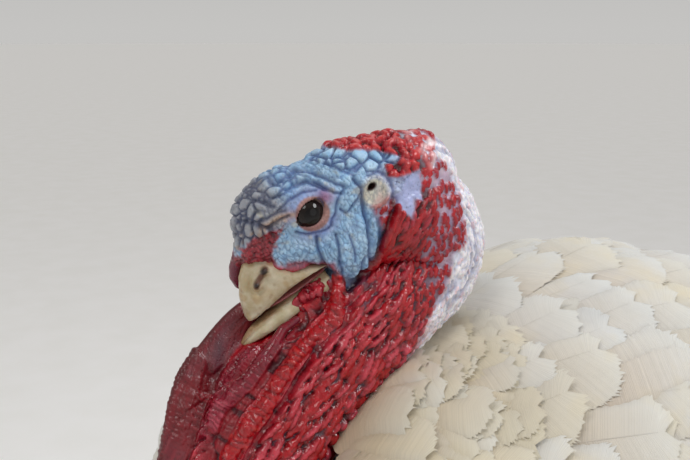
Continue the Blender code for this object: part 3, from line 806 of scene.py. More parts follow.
def skin_zones(p, outward):
    """Where points of the bare skin lie, and how far each belongs to the zones of it."""
    h = to_head(p)
    out = outward @ HEAD_AXES.T
    forward, up = h[:, 0], h[:, 2]
    folded = h * np.array((1, 0, 1)) + np.abs(h) * np.array((0, 1, 0))
    side = folded[:, 1]
    q = h[:, [0, 2]]
    wobble = np.stack((value_noise(h / 3.1, 5), value_noise(h / 3.1, 6)), -1) * 0.6
    drawn = q + wobble
    neck_distance, run, turn = NECK.measure(p)
    head_distance = np.full(len(p), 1e3)
    for centre, radii in HEAD_FORMS:
        head_distance = np.minimum(head_distance, ellipsoid(folded if centre[1] else h, centre, radii))
    around = np.abs(turn)

    blue_edge = inside_polygon(drawn, BLUE_FACE)
    near_head = smoothstep(5.0, 2.0, head_distance)
    crest = smoothstep(0.7, -0.7, inside_polygon(drawn, CREST_EDGE)) * smoothstep(-26, -22, up) * near_head
    face = smoothstep(0.8, -0.8, blue_edge) * near_head * (1 - crest)
    on_head = smoothstep(4.0, 1.5, head_distance - np.maximum(neck_distance, -3) - 1.0)
    low = smoothstep(70, 105, run)
    behind_ear = smoothstep(1.2, -1.2, inside_polygon(drawn, BEHIND_EAR)) * smoothstep(8, 12, side)
    pale_gap = smoothstep(1.5, -1.5, inside_polygon(drawn, PALE_GAP))
    nape = lerp(smoothstep(1.5, -1.5, inside_polygon(drawn, NAPE_EDGE)), smoothstep(1.02, 0.80, around), low)
    nape = nape * (1 - crest)
    eye_out = folded - EYE_AT
    eye_away = np.hypot(eye_out[:, 0], eye_out[:, 2])
    near_eye = smoothstep(17, 9, eye_away)
    ear_out = folded - EAR_AT
    ear_away = np.hypot(ear_out[:, 0] + 0.4, ear_out[:, 2])
    raised = np.zeros(len(p))

    dewlap_distance, dewlap_run, dewlap_turn = DEWLAP.measure(p)
    flap = smoothstep(1.6, 0.4, dewlap_distance) * smoothstep(0, 3, neck_distance + 1)
    mirrored = p * np.array((0, 1, 1)) + np.abs(p) * np.array((1, 0, 0))
    gape_away, fold_away = capsules(mirrored, GAPE_CORD), capsules(mirrored, FOLD_CORD)
    gape_cord, fold_cord = smoothstep(1.4, 0.2, gape_away), smoothstep(1.4, 0.2, fold_away)
    cords = np.maximum(gape_cord, fold_cord)
    beside = smoothstep(0.8, 2.0, gape_away) * smoothstep(6.0, 3.0, gape_away) * smoothstep(690, 676, p[:, 2])
    hollow = np.exp(-(np.maximum(capsules(mirrored, HOLLOW), 0) / HOLLOW_REACH) ** 2)
    bare_front = np.clip(flap + cords + 0.9 * hollow + 0.8 * beside, 0, 1)
    return SimpleNamespace(p=p, h=h, out=out, forward=forward, up=up, folded=folded, side=side, q=q,
                           drawn=drawn, run=run, turn=turn, around=around, blue_edge=blue_edge,
                           crest=crest, face=face, on_head=on_head, low=low, behind_ear=behind_ear,
                           pale_gap=pale_gap, nape=nape, eye_out=eye_out, eye_away=eye_away,
                           near_eye=near_eye, ear_out=ear_out, ear_away=ear_away, raised=raised,
                           dewlap_run=dewlap_run, dewlap_turn=dewlap_turn, flap=flap,
                           fold_away=fold_away, fold_cord=fold_cord, gape_cord=gape_cord, cords=cords,
                           beside=beside, hollow=hollow, bare_front=bare_front)


def face_relief(at):
    """The face: fine upright wrinkles with pores, and cobbles on brow and crown."""
    h, up, forward, drawn, face, near_eye = at.h, at.up, at.forward, at.drawn, at.face, at.near_eye
    raised = at.raised
    wavy = h + np.stack([value_noise(h / 6, i) for i in (1, 2, 3)], -1) * 1.2
    f1, f2 = cells(wavy / np.array((1.9, 3.0, 4.4)), 11)
    wrinkle = smoothstep(0.28, 0.0, f2 - f1)
    front = smoothstep(14, 19, forward - 0.30 * up) * smoothstep(0, 5, up)
    crown = smoothstep(1.0, -1.5, inside_polygon(drawn, CROWN_EDGE))
    brow_top = smoothstep(11, 16, up) * smoothstep(-14, -6, forward)
    cobbled = np.clip(front + crown + 0.7 * brow_top, 0, 1)
    smooth_face = face * (1 - cobbled) * (1 - 0.7 * near_eye)
    raised += -0.5 * wrinkle * smooth_face
    crease_shade = 0.6 * wrinkle * smooth_face
    pore, _ = cells(wavy / np.array((1.5, 1.5, 2.0)), 37, 0.9)
    crease_shade += 0.7 * smoothstep(0.22, 0.10, pore) * smooth_face

    # cobbles of the brow and the crown: closely set cushions with creases between them, darkened by painted
    # shade
    upright = cells(wavy / np.array((4.9, 4.6, 7.6)), 29, 0.75)
    rounded = cells(wavy / np.array((6.6, 6.2, 5.6)), 31, 0.75)
    cushion = np.where(forward > 15, upright[1] - upright[0], rounded[1] - rounded[0])
    raised += face * cobbled * (2.0 * smoothstep(0.0, 0.36, cushion) - 1.3)
    crease_shade += 1.2 * face * cobbled * smoothstep(0.26, 0.05, cushion)
    at.cobbled, at.raised, at.crease_shade = cobbled, raised, crease_shade


def lump_relief(at):
    """Glossy sausages on the crest, and nodules, strands and pleats on the neck."""
    face, crest, p, drawn, side, up = at.face, at.crest, at.p, at.drawn, at.side, at.up
    pale_gap, behind_ear, low, q, around = at.pale_gap, at.behind_ear, at.low, at.q, at.around
    cobbled, nape, h, bare_front, out, run = at.cobbled, at.nape, at.h, at.bare_front, at.out, at.run
    forward, raised, turn, crease_shade = at.forward, at.raised, at.turn, at.crease_shade
    neck = (1 - face) * (1 - crest)
    strand = np.full(len(p), 0.0)
    for line, height, width in JAW_STRANDS:
        away, _ = stroke_distance(drawn, line)
        strand = np.maximum(strand, height * np.exp(-(away / width) ** 2) * smoothstep(7, 13, side))
    dense = smoothstep(30, 17, stroke_distance(q, JAW_EDGE)[0]) * (1 - low) * (1 - behind_ear) \
        * (1 - pale_gap) * smoothstep(-22, -30, up)
    rear = smoothstep(1.45, 1.25, around) * low
    mixed = np.stack((face * cobbled, crest, neck * nape, neck * (1 - nape) * (1 - low) * (1 - dense),
                      neck * (1 - nape) * dense * (1 - low), neck * (1 - nape) * low * (1 - rear),
                      neck * (1 - nape) * low * rear), -1)
    mixed = mixed / np.maximum(mixed.sum(-1), 1e-3)[:, None]
    sizes = mixed @ np.array(((3.3, 2.3), (4.4, 2.5), (2.6, 1.0), (3.2, 1.5), (5.2, 1.4), (8.4, 2.3),
                              (4.6, 3.1)))
    tall = mixed @ np.array((2.0, 2.9, 0.8, 1.8, 1.7, 3.2, 3.2))
    yaw = mixed @ np.array((0.7, 1.3, 0.6, 0.35, 0.22, 0.26, 0.35))
    pack = mixed @ np.array((0.62, 0.60, 0.90, 0.72, 0.62, 0.56, 0.62))
    crowd = 0.5 + 0.5 * smoothstep(-0.75, -0.45, value_noise(h / 6.5, 91) + 0.8 * low)
    present = np.clip(crest + neck * (1 - behind_ear) * crowd * (1 - bare_front), 0, 1)
    present = present * (1 - smoothstep(0.25, 0.6, strand))
    present = present * np.where((crowd < 0.6) & (crest < 0.5), 0.0, 1.0)
    present = np.where(pale_gap > 0.5, 0.03 * present, present)
    present = np.where(face > 0.5, 0.0, present)
    flow = lie(h, out, run)
    placed = place_nodules(h, flow, out, sizes, present, yaw, pack, 17)
    lump, which, gap = nodule_relief(h, out, placed)
    spare = present * (gap > 1.5) * low
    between = place_nodules(h, flow, out, sizes * np.array((0.62, 0.66)), spare, yaw, pack + 0.2, 23, 20000)
    second, second_which, _ = nodule_relief(h, out, between, 4)
    which = np.where(second * 0.7 > lump, second_which + MOST_LUMPS + 1, which)
    lump = np.maximum(lump, second * 0.7)
    tone = 0.5 + 0.5 * np.sin(which * 12.9898)
    lumpy = np.clip(crest + neck * (1 - behind_ear) * (1 - bare_front), 0, 1) \
        * (1 - smoothstep(0.3, 0.8, strand))
    tall = tall * (1 - 0.7 * crest * smoothstep(-56, -64, forward))
    raised += lumpy * (tall * (0.75 + 0.5 * tone) * lump - 0.35 * tall)
    raised += neck * strand * (1 - low)
    fine_lines = value_noise(np.stack((run / 7, turn * 18), -1), 15) * value_noise(h / 1.1, 44)
    raised += neck * (0.25 + 0.35 * behind_ear + 0.3 * nape) * fine_lines
    pleats = value_noise(np.stack((run / 15, turn * 15), -1), 46)
    raised += 0.9 * neck * nape * pleats
    crease_shade += 0.5 * neck * nape * smoothstep(-0.05, -0.5, pleats)
    ropes = np.cos(2 * math.pi * (turn * 33 / 14 + 0.6 * value_noise(np.stack((run / 30, turn * 3), -1), 9)))
    raised += neck * (1 - nape) * low * 0.9 * ropes
    small_beads = nodules(np.stack((run / 3.6, turn * 33 / 3.4), -1), 71, 0.62, 0.2, 2.0, 1.0)
    raised += neck * (1 - nape) * low * 0.55 * small_beads
    # painted shade in the furrows between the ropes, where no lump stands
    furrow = neck * low * (1 - nape) * smoothstep(-0.2, -0.9, ropes) * (1 - lump)
    at.strand, at.dense, at.rear, at.lump, at.tone, at.raised = strand, dense, rear, lump, tone, raised
    at.crease_shade, at.furrow = crease_shade, furrow


def crease_relief(at):
    """The creases and ridges of the face, and the fold along the jaw."""
    drawn, side, face, on_head, raised = at.drawn, at.side, at.face, at.on_head, at.raised
    crease_shade, blue_edge = at.crease_shade, at.blue_edge
    for line, depth, width in CREASES:
        away, _ = stroke_distance(drawn, line)
        cut = np.exp(-(away / width) ** 2) * smoothstep(2, 6, side)
        lip = np.exp(-((away - width * 2) / width) ** 2) * smoothstep(2, 6, side)
        raised += (-depth * cut + 0.22 * depth * lip) * np.maximum(face, 0.3 * on_head)
        crease_shade = np.maximum(crease_shade, cut * np.maximum(face, 0.3))
    for line, height, width in RIDGES:
        away, _ = stroke_distance(drawn, line)
        raised += height * np.exp(-(away / width) ** 2) * smoothstep(6, 12, side)
    jaw_away, _ = stroke_distance(drawn, JAW_EDGE)
    jaw = np.exp(-(jaw_away / 1.7) ** 2) * smoothstep(4, 9, side)
    inner = smoothstep(0.5, -2.0, blue_edge)
    raised += -2.0 * jaw * (1 - 0.5 * inner) + 0.8 * np.exp(-((jaw_away - 3) / 1.6) ** 2) * inner
    crease_shade = np.maximum(crease_shade, jaw)
    at.raised, at.crease_shade = raised, crease_shade


def dewlap_relief(at):
    """The dewlap: lined aslant, its front edge beaded, with a furrow beside the fold."""
    flap, dewlap_run, dewlap_turn, p, raised = at.flap, at.dewlap_run, at.dewlap_turn, at.p, at.raised
    edge = smoothstep(2.72, 3.0, np.abs(dewlap_turn)) * flap * smoothstep(2, 14, dewlap_run)
    slant = p[:, 1] * 0.86 - p[:, 2] * 0.5
    upright_way = p[:, 1] * 0.5 + p[:, 2] * 0.86
    hatch = value_noise(np.stack((slant / 1.3, upright_way / 13), -1), 15)
    fold = value_noise(np.stack((slant / 4.6, upright_way / 34), -1), 16)
    raised += flap * smoothstep(2, 16, dewlap_run) * (0.34 * hatch + 0.8 * fold)
    scallop = np.abs(np.sin(dewlap_run * math.pi / 2.5 + value_noise(p / 6, 19)))
    raised += edge * (0.42 * scallop - 0.2)
    valley_away, _ = stroke_distance(p[:, 1:3], VALLEY)
    valley = np.exp(-(valley_away / 3.2) ** 2) * smoothstep(-16, -6, p[:, 0]) * flap
    at.edge, at.hatch, at.raised, at.valley = edge, hatch, raised, valley


def cord_relief(at):
    """The ringed cords at the front of the throat, and the hatched fold before the lip."""
    p, fold_cord, gape_cord, cords, fold_away = at.p, at.fold_cord, at.gape_cord, at.cords, at.fold_away
    valley, beside, hollow, raised = at.valley, at.beside, at.hollow, at.raised
    down = p[:, 2] * 0.77 + p[:, 1] * 0.64 + value_noise(p / 5, 27) * 1.3
    ahead = p[:, 2] * 0.64 - p[:, 1] * 0.77
    ringed = 0.75 * np.abs(np.sin(down * math.pi / 3.4 + 0.9 * value_noise(p / 2.6, 28))) \
        + 0.35 * value_noise(np.stack((down / 1.5, (p[:, 0] + ahead) / 3), -1), 32)
    lipped = 0.7 * np.abs(np.sin(down * math.pi / 2.3 + 1.0 * value_noise(p / 2.2, 29))) \
        + 0.4 * value_noise(np.stack((down / 1.1, (p[:, 0] + ahead) / 4), -1), 33)
    knobs = value_noise(p / 3.6, 30)
    cord_beads = lerp(ringed, lipped, fold_cord * (1 - gape_cord))
    apron = smoothstep(565, 571, ahead) * smoothstep(24, 14, fold_away) * smoothstep(608, 620, p[:, 2]) \
        * (1 - cords) * smoothstep(-6, 0, p[:, 0])
    raised += -1.2 * beside * (1 - cords) - 3.0 * hollow * (1 - cords) - 1.3 * valley
    raised += apron * (0.55 * lipped - 0.2)
    raised = raised * (1 - cords) + cords * (lerp(0.9, 0.6, fold_cord) * cord_beads + 1.2 * knobs - 0.3)
    pit_beads = nodules(np.stack((down / 4.2, (p[:, 0] + ahead) / 3.4), -1), 77, 0.6, 0.4, 1.5, 0.75)
    raised += hollow * (1 - cords) * 1.5 * pit_beads
    at.lipped, at.cord_beads, at.apron, at.raised = lipped, cord_beads, apron, raised
    at.pit_beads = pit_beads


def small_relief(at):
    """The ringed snood, the fine lines of the lids and the dish of the ear."""
    forward, h, raised, eye_away, eye_out = at.forward, at.h, at.raised, at.eye_away, at.eye_out
    ear_away, side = at.ear_away, at.side
    snood = smoothstep(1.4, 0.3, capsules(h, SNOOD)) * smoothstep(33, 37, forward)
    rings = np.cos(h @ np.array((0.4, 0.2, 1.0)) * 2.9 + value_noise(h / 3, 2) * 2)
    raised = raised * (1 - snood) + snood * 0.18 * rings
    lid = smoothstep(12, 9, eye_away) * smoothstep(2, 5, eye_out[:, 1])
    raised = raised * (1 - 0.85 * lid) + lid * 0.16 * np.cos(np.arctan2(eye_out[:, 2], eye_out[:, 0]) * 26)
    dish = smoothstep(6.8, 5.4, ear_away) * smoothstep(10, 14, side)
    rim = np.exp(-((ear_away - 7.0) / 1.1) ** 2) * smoothstep(10, 14, side)
    raised = raised * (1 - dish) + 0.8 * rim + dish * 0.25 * value_noise(h / 1.2, 21)
    at.snood, at.raised, at.dish, at.rim = snood, raised, dish, rim


def face_colours(at):
    """Blue, grey and violet of the face, with ochre, cream and the red of the lore."""
    h, p, up, forward, near_eye, drawn = at.h, at.p, at.up, at.forward, at.near_eye, at.drawn
    face, side = at.face, at.side
    mottle = value_noise(h / 5, 51)
    colour = np.tile(BLUE, (len(p), 1))
    colour = paint(colour, BLUE_LIGHT, 0.5 + 0.5 * value_noise(h / 3, 52))
    colour = paint(colour, BLUE_GREY, 0.92 * smoothstep(2, 13, forward) * smoothstep(-4, 5, up))
    colour = paint(colour, LAVENDER, 0.7 * smoothstep(-22, -34, forward) * smoothstep(0, -6, up))
    colour = paint(colour, VIOLET, 0.75 * near_eye * smoothstep(-2, 5, up) * (0.7 + 0.3 * mottle))
    colour = paint(colour, VIOLET, 0.55 * near_eye * smoothstep(-4, -9, up))
    rear_lid = np.exp(-(((forward + 9) / 4.5) ** 2 + ((up - 2) / 4) ** 2))
    colour = paint(colour, MAUVE, 0.85 * rear_lid + 0.25 * near_eye * smoothstep(0, 9, up) * mottle ** 2)
    band, _ = stroke_distance(drawn, ((7.5, 4), (15, 6.6), (23, 5.8)))
    colour = paint(colour, OCHRE, 0.75 * np.exp(-(band / 2.0) ** 2))
    colour = paint(colour, CREAM, 0.45 * smoothstep(0.45, 0.8, value_noise(h / 3.4, 61)) * face
                   * smoothstep(-26, -18, up))
    colour = paint(colour, OCHRE, 0.5 * smoothstep(7, 2, inside_polygon(drawn, LORE))
                   * smoothstep(0.1, 0.6, value_noise(h / 2, 62)))
    lore = smoothstep(1.0, -1.2, inside_polygon(drawn, LORE) + 1.5 * value_noise(h / 2, 63))
    colour = paint(colour, CRIMSON, 0.9 * lore * face)
    gape, _ = stroke_distance(drawn, ((22, -17.5), (15.8, -20.6), (10.3, -25.2), (5, -28.5), (5, -34)))
    colour = paint(colour, CRIMSON, 0.85 * np.exp(-(gape / 1.6) ** 2) * smoothstep(8, 11, side))
    ear_rear = np.exp(-(((forward + 36) / 5) ** 2 + ((up + 14) / 9) ** 2)) * smoothstep(10, 14, side)
    colour = paint(colour, WHITISH, 0.4 * ear_rear)
    at.colour, at.lore = colour, lore


def neck_colours(at):
    """Red lumps on darker skin, the pale nape and the crest; painted highlights and shade on the lumps."""
    p, h, behind_ear, dense, crest, run = at.p, at.h, at.behind_ear, at.dense, at.crest, at.run
    forward, pale_gap, nape, low, turn = at.forward, at.pale_gap, at.nape, at.low, at.turn
    around, tone, rear, lump, furrow = at.around, at.tone, at.rear, at.lump, at.furrow
    strand, colour, face = at.strand, at.colour, at.face
    bare = paint(np.tile(PALE, (len(p), 1)), LAVENDER, 0.45 + 0.45 * value_noise(h / 4, 64))
    bare = paint(bare, LAVENDER_BLUE, 0.8 * behind_ear)
    reddish = np.clip(dense + smoothstep(48, 82, run) + crest * smoothstep(-66, -58, forward), 0, 1)
    bare = paint(bare, DEEP_RED, reddish * (1 - nape) * (1 - 0.9 * behind_ear) * (1 - pale_gap))
    glints = smoothstep(0.42, 0.65, value_noise(np.stack((run / 12, turn * 9), -1), 76)) * low * (1 - nape)
    flanks = 0.75 * smoothstep(0.95, 1.35, around) * low * (1 - nape)
    bare = paint(bare, LAVENDER, np.maximum(0.7 * glints, flanks))
    bare = paint(bare, PINK, 0.25 * pale_gap)
    lump_colour = paint(np.tile(RED, (len(p), 1)), CRIMSON, smoothstep(0.3, 0.9, tone) * 0.7)
    lump_colour = paint(lump_colour, PINK, 0.18 * smoothstep(0.86, 0.99, tone) * (1 - crest))
    lump_colour = paint(lump_colour, PINK, 0.5 * rear * smoothstep(0.3, 0.8, tone))
    # painted highlight: paler red on the tops of the crest's lumps
    lump_colour = paint(lump_colour, CREST_HIGHLIGHT, 0.5 * smoothstep(0.7, 1.0, lump) * crest)
    # painted highlight: pink on the tops of the lower neck's lumps
    lump_colour = paint(lump_colour, LUMP_HIGHLIGHT, 0.55 * smoothstep(0.70, 1.0, lump)
                        * smoothstep(0.15, 0.7, tone) * low * (1 - crest))
    neck_colour = paint(bare, lump_colour, smoothstep(0.10, 0.40, lump) * (1 - behind_ear))
    # painted shade: dark red at the feet of the lumps, where they meet the skin
    foot = smoothstep(0.75, 0.2, lump) * (0.50 + 0.35 * low) * (1 - nape)
    neck_colour = paint(neck_colour, LUMP_FOOT_SHADE, foot * (1 - behind_ear) * np.clip(low + dense, 0.35, 1))
    # painted shade: near black red in the furrows between the ropes
    neck_colour = paint(neck_colour, FURROW_SHADE_RED, 0.8 * furrow)
    neck_colour = paint(neck_colour, RED, smoothstep(0.3, 0.8, strand) * (1 - low))
    # painted shade: deep red in the narrow gaps between the close lumps by the jaw
    neck_colour = paint(neck_colour, DEEP_RED, 0.9 * dense * smoothstep(0.12, 0.0, lump)
                        * smoothstep(0.4, 0.1, strand) * (1 - nape) * (1 - behind_ear))
    nape_colour = paint(np.tile(PALE, (len(p), 1)), WHITISH, smoothstep(0.2, 0.6, lump))
    nape_colour = paint(nape_colour, PINK, 0.35 * smoothstep(0.9, 1.0, tone) * smoothstep(0.3, 0.7, lump))
    neck_colour = neck_colour * (1 - nape[:, None]) + nape_colour * nape[:, None]
    pale_back = smoothstep(-60, -68, forward) * smoothstep(-0.3, 0.4, value_noise(h / 5, 68))
    crest_colour = paint(neck_colour, WHITISH, 0.75 * pale_back)
    colour = colour * face[:, None] + neck_colour * (1 - face[:, None])
    colour = colour * (1 - crest[:, None]) + crest_colour * crest[:, None]
    at.colour = colour


def throat_colours(at):
    """The dewlap, the cords and the hollow between them; painted shade in the hollow, highlights on the
    beads.
    """
    p, hatch, valley, edge, colour, flap = at.p, at.hatch, at.valley, at.edge, at.colour, at.flap
    fold_away, lipped, apron, cord_beads = at.fold_away, at.lipped, at.apron, at.cord_beads
    fold_cord, gape_cord, pit_beads, hollow = at.fold_cord, at.gape_cord, at.pit_beads, at.hollow
    beside, cords = at.beside, at.cords
    dewlap_colour = paint(np.tile(DEWLAP_MAUVE, (len(p), 1)), CRIMSON,
                          0.65 * smoothstep(-0.1, 0.7, value_noise(p / 13, 73))
                          + 0.4 * smoothstep(640, 590, p[:, 2]))
    # paler on the raised lines of the hatching and darker between them: partly the lines' own colour, partly
    # painted light and shade
    dewlap_colour = paint(dewlap_colour, DEWLAP_PALE, 0.5 * smoothstep(0.1, 0.7, hatch))
    dewlap_colour = paint(dewlap_colour, DEWLAP_DARK, 0.5 * smoothstep(-0.1, -0.7, hatch))
    # plum in the furrow beside the fold is painted shade; the plum blotches elsewhere are the skin's own tone
    dewlap_colour = paint(dewlap_colour, PLUM,
                          0.75 * valley + 0.25 * smoothstep(0.2, 0.8, value_noise(p / 17, 72)))
    dewlap_colour = paint(dewlap_colour, DEWLAP_EDGE, 0.85 * edge)
    colour = colour * (1 - flap[:, None]) + dewlap_colour * flap[:, None]
    # paler on the raised ridges near the lip: partly the fold's own pink, partly painted highlight
    apron_colour = paint(np.tile(APRON_RED, (len(p), 1)), APRON_PALE,
                         0.7 * smoothstep(0.55, 0.95, lipped) * smoothstep(12, 3, fold_away))
    colour = paint(colour, apron_colour, apron)
    # painted highlight: orange-red on the tops of the cord's beads
    cord_colour = paint(np.tile(CORD_RED, (len(p), 1)), CORD_HIGHLIGHT,
                        0.6 * smoothstep(0.6, 1.0, cord_beads)
                        * smoothstep(-0.5, 0.5, value_noise(p / 7, 75)))
    # painted highlight: pink on the tops of the lip's beads
    lip_colour = paint(np.tile(LIP_RED, (len(p), 1)), LIP_HIGHLIGHT,
                       0.8 * smoothstep(0.5, 1.0, cord_beads) * smoothstep(-0.8, 0.3, value_noise(p / 9, 74)))
    lip_colour = paint(lip_colour, VIOLET, 0.2 * smoothstep(0.3, 0.8, value_noise(p / 5, 78)))
    # painted shade: the lip darker towards the top, under the bill
    lip_colour = paint(lip_colour, LIP_SHADE_UNDER_BILL, 0.85 * smoothstep(628, 652, p[:, 2]))
    cord_colour = paint(cord_colour, lip_colour, fold_cord * (1 - gape_cord))
    # painted shade in the grooves between the beads of the cords
    cord_colour = paint(cord_colour, CORD_GROOVE_SHADE, 0.45 * smoothstep(0.4, 0.0, cord_beads))
    # painted shade: dark red in the hollow and beside the gape cord, with the beads in it left redder
    hollow_shade = paint(np.tile(HOLLOW_SHADE_RED, (len(p), 1)), HOLLOW_BEAD, smoothstep(0.3, 0.7, pit_beads))
    colour = paint(colour, hollow_shade, np.clip(0.9 * hollow + 0.7 * beside, 0, 1) * (1 - 0.6 * flap))
    colour = colour * (1 - cords[:, None]) + cord_colour * cords[:, None]
    at.colour = colour


def head_details(at):
    """Snood, lids, ear, mouth and chin, with pebbled skin round the root of the bill."""
    colour, snood, eye_away, eye_out, dish = at.colour, at.snood, at.eye_away, at.eye_out, at.dish
    rim, ear_out, h, forward, up, cords = at.rim, at.ear_out, at.h, at.forward, at.up, at.cords
    flap, folded, side, face, lore, p = at.flap, at.folded, at.side, at.face, at.lore, at.p
    colour = paint(colour, SNOOD_PLUM, snood)
    colour = paint(colour, LID_RING, smoothstep(9.0, 7.8, eye_away) * smoothstep(3.5, 5, eye_out[:, 1]))
    colour = paint(colour, LID_CORNER, 0.6 * smoothstep(9.0, 7.6, eye_away)
                   * smoothstep(3, 7, eye_out[:, 0]) * smoothstep(3.5, 5, eye_out[:, 1]))
    colour = paint(colour, EAR_DISH, dish + 0.5 * rim)
    # painted shade: the hole of the ear near black
    colour = paint(colour, EAR_HOLE_SHADE, smoothstep(3.0, 1.8, length(
        ear_out * np.array((0.8, 0.35, 1.3)) - np.array((-0.6, 0.4, 3.9)))) * dish)
    in_mouth = smoothstep(0.6, -0.4, ellipsoid(h, (20, 0, -31.4), (25, 10.4, 3.0)))
    colour = paint(colour, MOUTH, in_mouth * 0.9)
    under_bill = smoothstep(0, -5, up + 36) * smoothstep(4, 10, forward) \
        * smoothstep(4.5, 1.5, ellipsoid(h, *CHIN))
    colour = paint(colour, CHIN_RED, 0.85 * under_bill * (1 - flap) * (1 - cords))
    patch = smoothstep(1.2, 0.2, ellipsoid(tilted_patch(folded), (0, 0, 0), BILL_PATCH_RADII)) * (1 - cords)
    pebbled = nodules(np.stack((forward / 2.3, (up + 0.4 * side) / 2.1), -1), 83, 0.62, 0.2, 2.0, 1.0)
    pebbly = np.clip(under_bill * (1 - flap) + patch + 0.7 * lore * face, 0, 1) * (1 - cords)
    at.raised += pebbly * (1.0 - 0.45 * patch) * (1.3 * pebbled - 0.4)
    # painted highlight: paler red on the tops of the pebbles
    pebble_colour = paint(np.tile(PEBBLE_RED, (len(p), 1)), PEBBLE_HIGHLIGHT, smoothstep(0.3, 0.9, pebbled))
    colour = paint(colour, pebble_colour, np.clip(patch + 0.75 * lore * face, 0, 1))
    colour = paint(colour, LORE_RED, 0.45 * lore * face)
    at.colour, at.patch = colour, patch


def skin_finish(at):
    """Depth of the reds, painted shade in the creases and under the head, and how wet the skin is."""
    pale_gap, behind_ear, crest, face, nape = at.pale_gap, at.behind_ear, at.crest, at.face, at.nape
    colour, flap, p, crease_shade, lore = at.colour, at.flap, at.p, at.crease_shade, at.lore
    hollow, patch, q = at.hollow, at.patch, at.q
    deep = (1 - face) * (1 - nape) * (1 - crest) * (1 - behind_ear) * (1 - pale_gap)
    colour = colour * (1 - deep[:, None] * (1 - np.array((0.86, 0.62, 0.68))))
    colour = colour * (1 - flap[:, None] * (1 - np.array((0.84, 0.66, 0.54))))
    # painted shade on the upper dewlap, under the head and bill
    under_head_shade = flap * smoothstep(600, 650, p[:, 2])
    colour = colour * (1 - under_head_shade[:, None] * (1 - np.array((0.75, 0.50, 0.55))))
    shade = np.clip(crease_shade, 0, 1)[:, None]
    colour = colour * (1 - shade * (1 - np.array((0.24, 0.27, 0.42))))
    wet = 0.25 + 0.75 * (1 - face) * (1 - nape) * (1 - 0.6 * flap) * (1 - 0.9 * hollow) + 0.8 * lore
    quiet = np.maximum(smoothstep(-1.2, 0.4, inside_polygon(q, BARE_HORN)), patch)
    at.raised, at.colour, at.wet = at.raised * quiet, np.clip(colour, 0, 1), np.clip(wet, 0, 1)


def skin_detail(p, outward):
    """For points of the bare skin: how far it is raised, its colour, and how wet and creased it is."""
    at = skin_zones(p, outward)
    for part in (face_relief, lump_relief, crease_relief, dewlap_relief,
                 cord_relief, small_relief, face_colours, neck_colours,
                 throat_colours, head_details, skin_finish):
        part(at)
    return at.raised, at.colour, at.wet


# ---------------------------------------------------------------- materials

def node_material(name):
    made = bpy.data.materials.new(name)
    made.use_nodes = True
    tree = made.node_tree
    return made, tree, tree.nodes["Principled BSDF"]


def add(tree, kind, **values):
    """A node with its settings and the values of its inputs; an input can be a link."""
    node = tree.nodes.new(kind)
    for key, value in values.items():
        name = key.replace("_", " ")
        if hasattr(node, key):
            setattr(node, key, value)
        elif isinstance(value, bpy.types.NodeSocket):
            tree.links.new(value, node.inputs[name])
        else:
            node.inputs[name].default_value = value
    return node


def mix(tree, kind, factor, a, b):
    node = tree.nodes.new("ShaderNodeMix")
    node.data_type = "RGBA"
    node.blend_type = kind
    for socket, value in ((node.inputs[0], factor), (node.inputs[6], a), (node.inputs[7], b)):
        if isinstance(value, bpy.types.NodeSocket):
            tree.links.new(value, socket)
        elif isinstance(value, (int, float)):
            socket.default_value = value
        else:
            socket.default_value = (*value, 1)
    return node.outputs[2]


def remap(tree, value, low, high, to_low, to_high):
    node = add(tree, "ShaderNodeMapRange", Value=value)
    for name, number in (("From Min", low), ("From Max", high), ("To Min", to_low), ("To Max", to_high)):
        node.inputs[name].default_value = number
    return node.outputs[0]


def attribute(tree, name):
    return add(tree, "ShaderNodeAttribute", attribute_name=name).outputs


def scaled_place(tree, scale):
    """Object coordinates scaled by three numbers."""
    place = add(tree, "ShaderNodeTexCoord").outputs["Object"]
    return add(tree, "ShaderNodeMapping", Vector=place, Scale=scale).outputs[0]


def bump(tree, shader, height, strength, distance):
    node = add(tree, "ShaderNodeBump", Height=height, Strength=strength, Distance=distance)
    tree.links.new(node.outputs[0], shader.inputs["Normal"])


def skin_material():
    made, tree, shader = node_material("bare_skin")
    colour = attribute(tree, "tint")["Color"]
    wet = attribute(tree, "wet")["Fac"]
    fine = add(tree, "ShaderNodeTexNoise", Vector=scaled_place(tree, (1, 1, 1)), Scale=900.0, Detail=4.0)
    blotch = add(tree, "ShaderNodeTexNoise", Vector=scaled_place(tree, (1, 1, 1)), Scale=240.0, Detail=3.0)
    pores = add(tree, "ShaderNodeTexVoronoi", Vector=scaled_place(tree, (1, 1, 0.7)), Scale=620.0)
    darker = remap(tree, blotch.outputs[0], 0.3, 0.75, 0.80, 1.16)
    shaded = mix(tree, "MULTIPLY", 1.0, colour, darker)
    pitted = mix(tree, "MULTIPLY", 0.5, shaded, remap(tree, pores.outputs["Distance"], 0.0, 0.35, 0.3, 1.0))
    tree.links.new(pitted, shader.inputs["Base Color"])
    gloss = remap(tree, wet, 0, 1, 0.52, 0.20)
    rough = add(tree, "ShaderNodeMath", operation="ADD")
    tree.links.new(gloss, rough.inputs[0])
    tree.links.new(remap(tree, fine.outputs[0], 0.3, 0.7, -0.06, 0.08), rough.inputs[1])
    tree.links.new(rough.outputs[0], shader.inputs["Roughness"])
    shader.inputs["Subsurface Weight"].default_value = 0.12
    shader.inputs["Subsurface Radius"].default_value = (0.9, 0.35, 0.25)
    shader.inputs["Subsurface Scale"].default_value = 0.0022
    shader.inputs["Specular IOR Level"].default_value = 0.55
    height = mix(tree, "MIX", 0.5, fine.outputs[0], remap(tree, pores.outputs["Distance"], 0, 0.4, 0, 1))
    bump(tree, shader, height, 0.45, 0.0006)
    return made


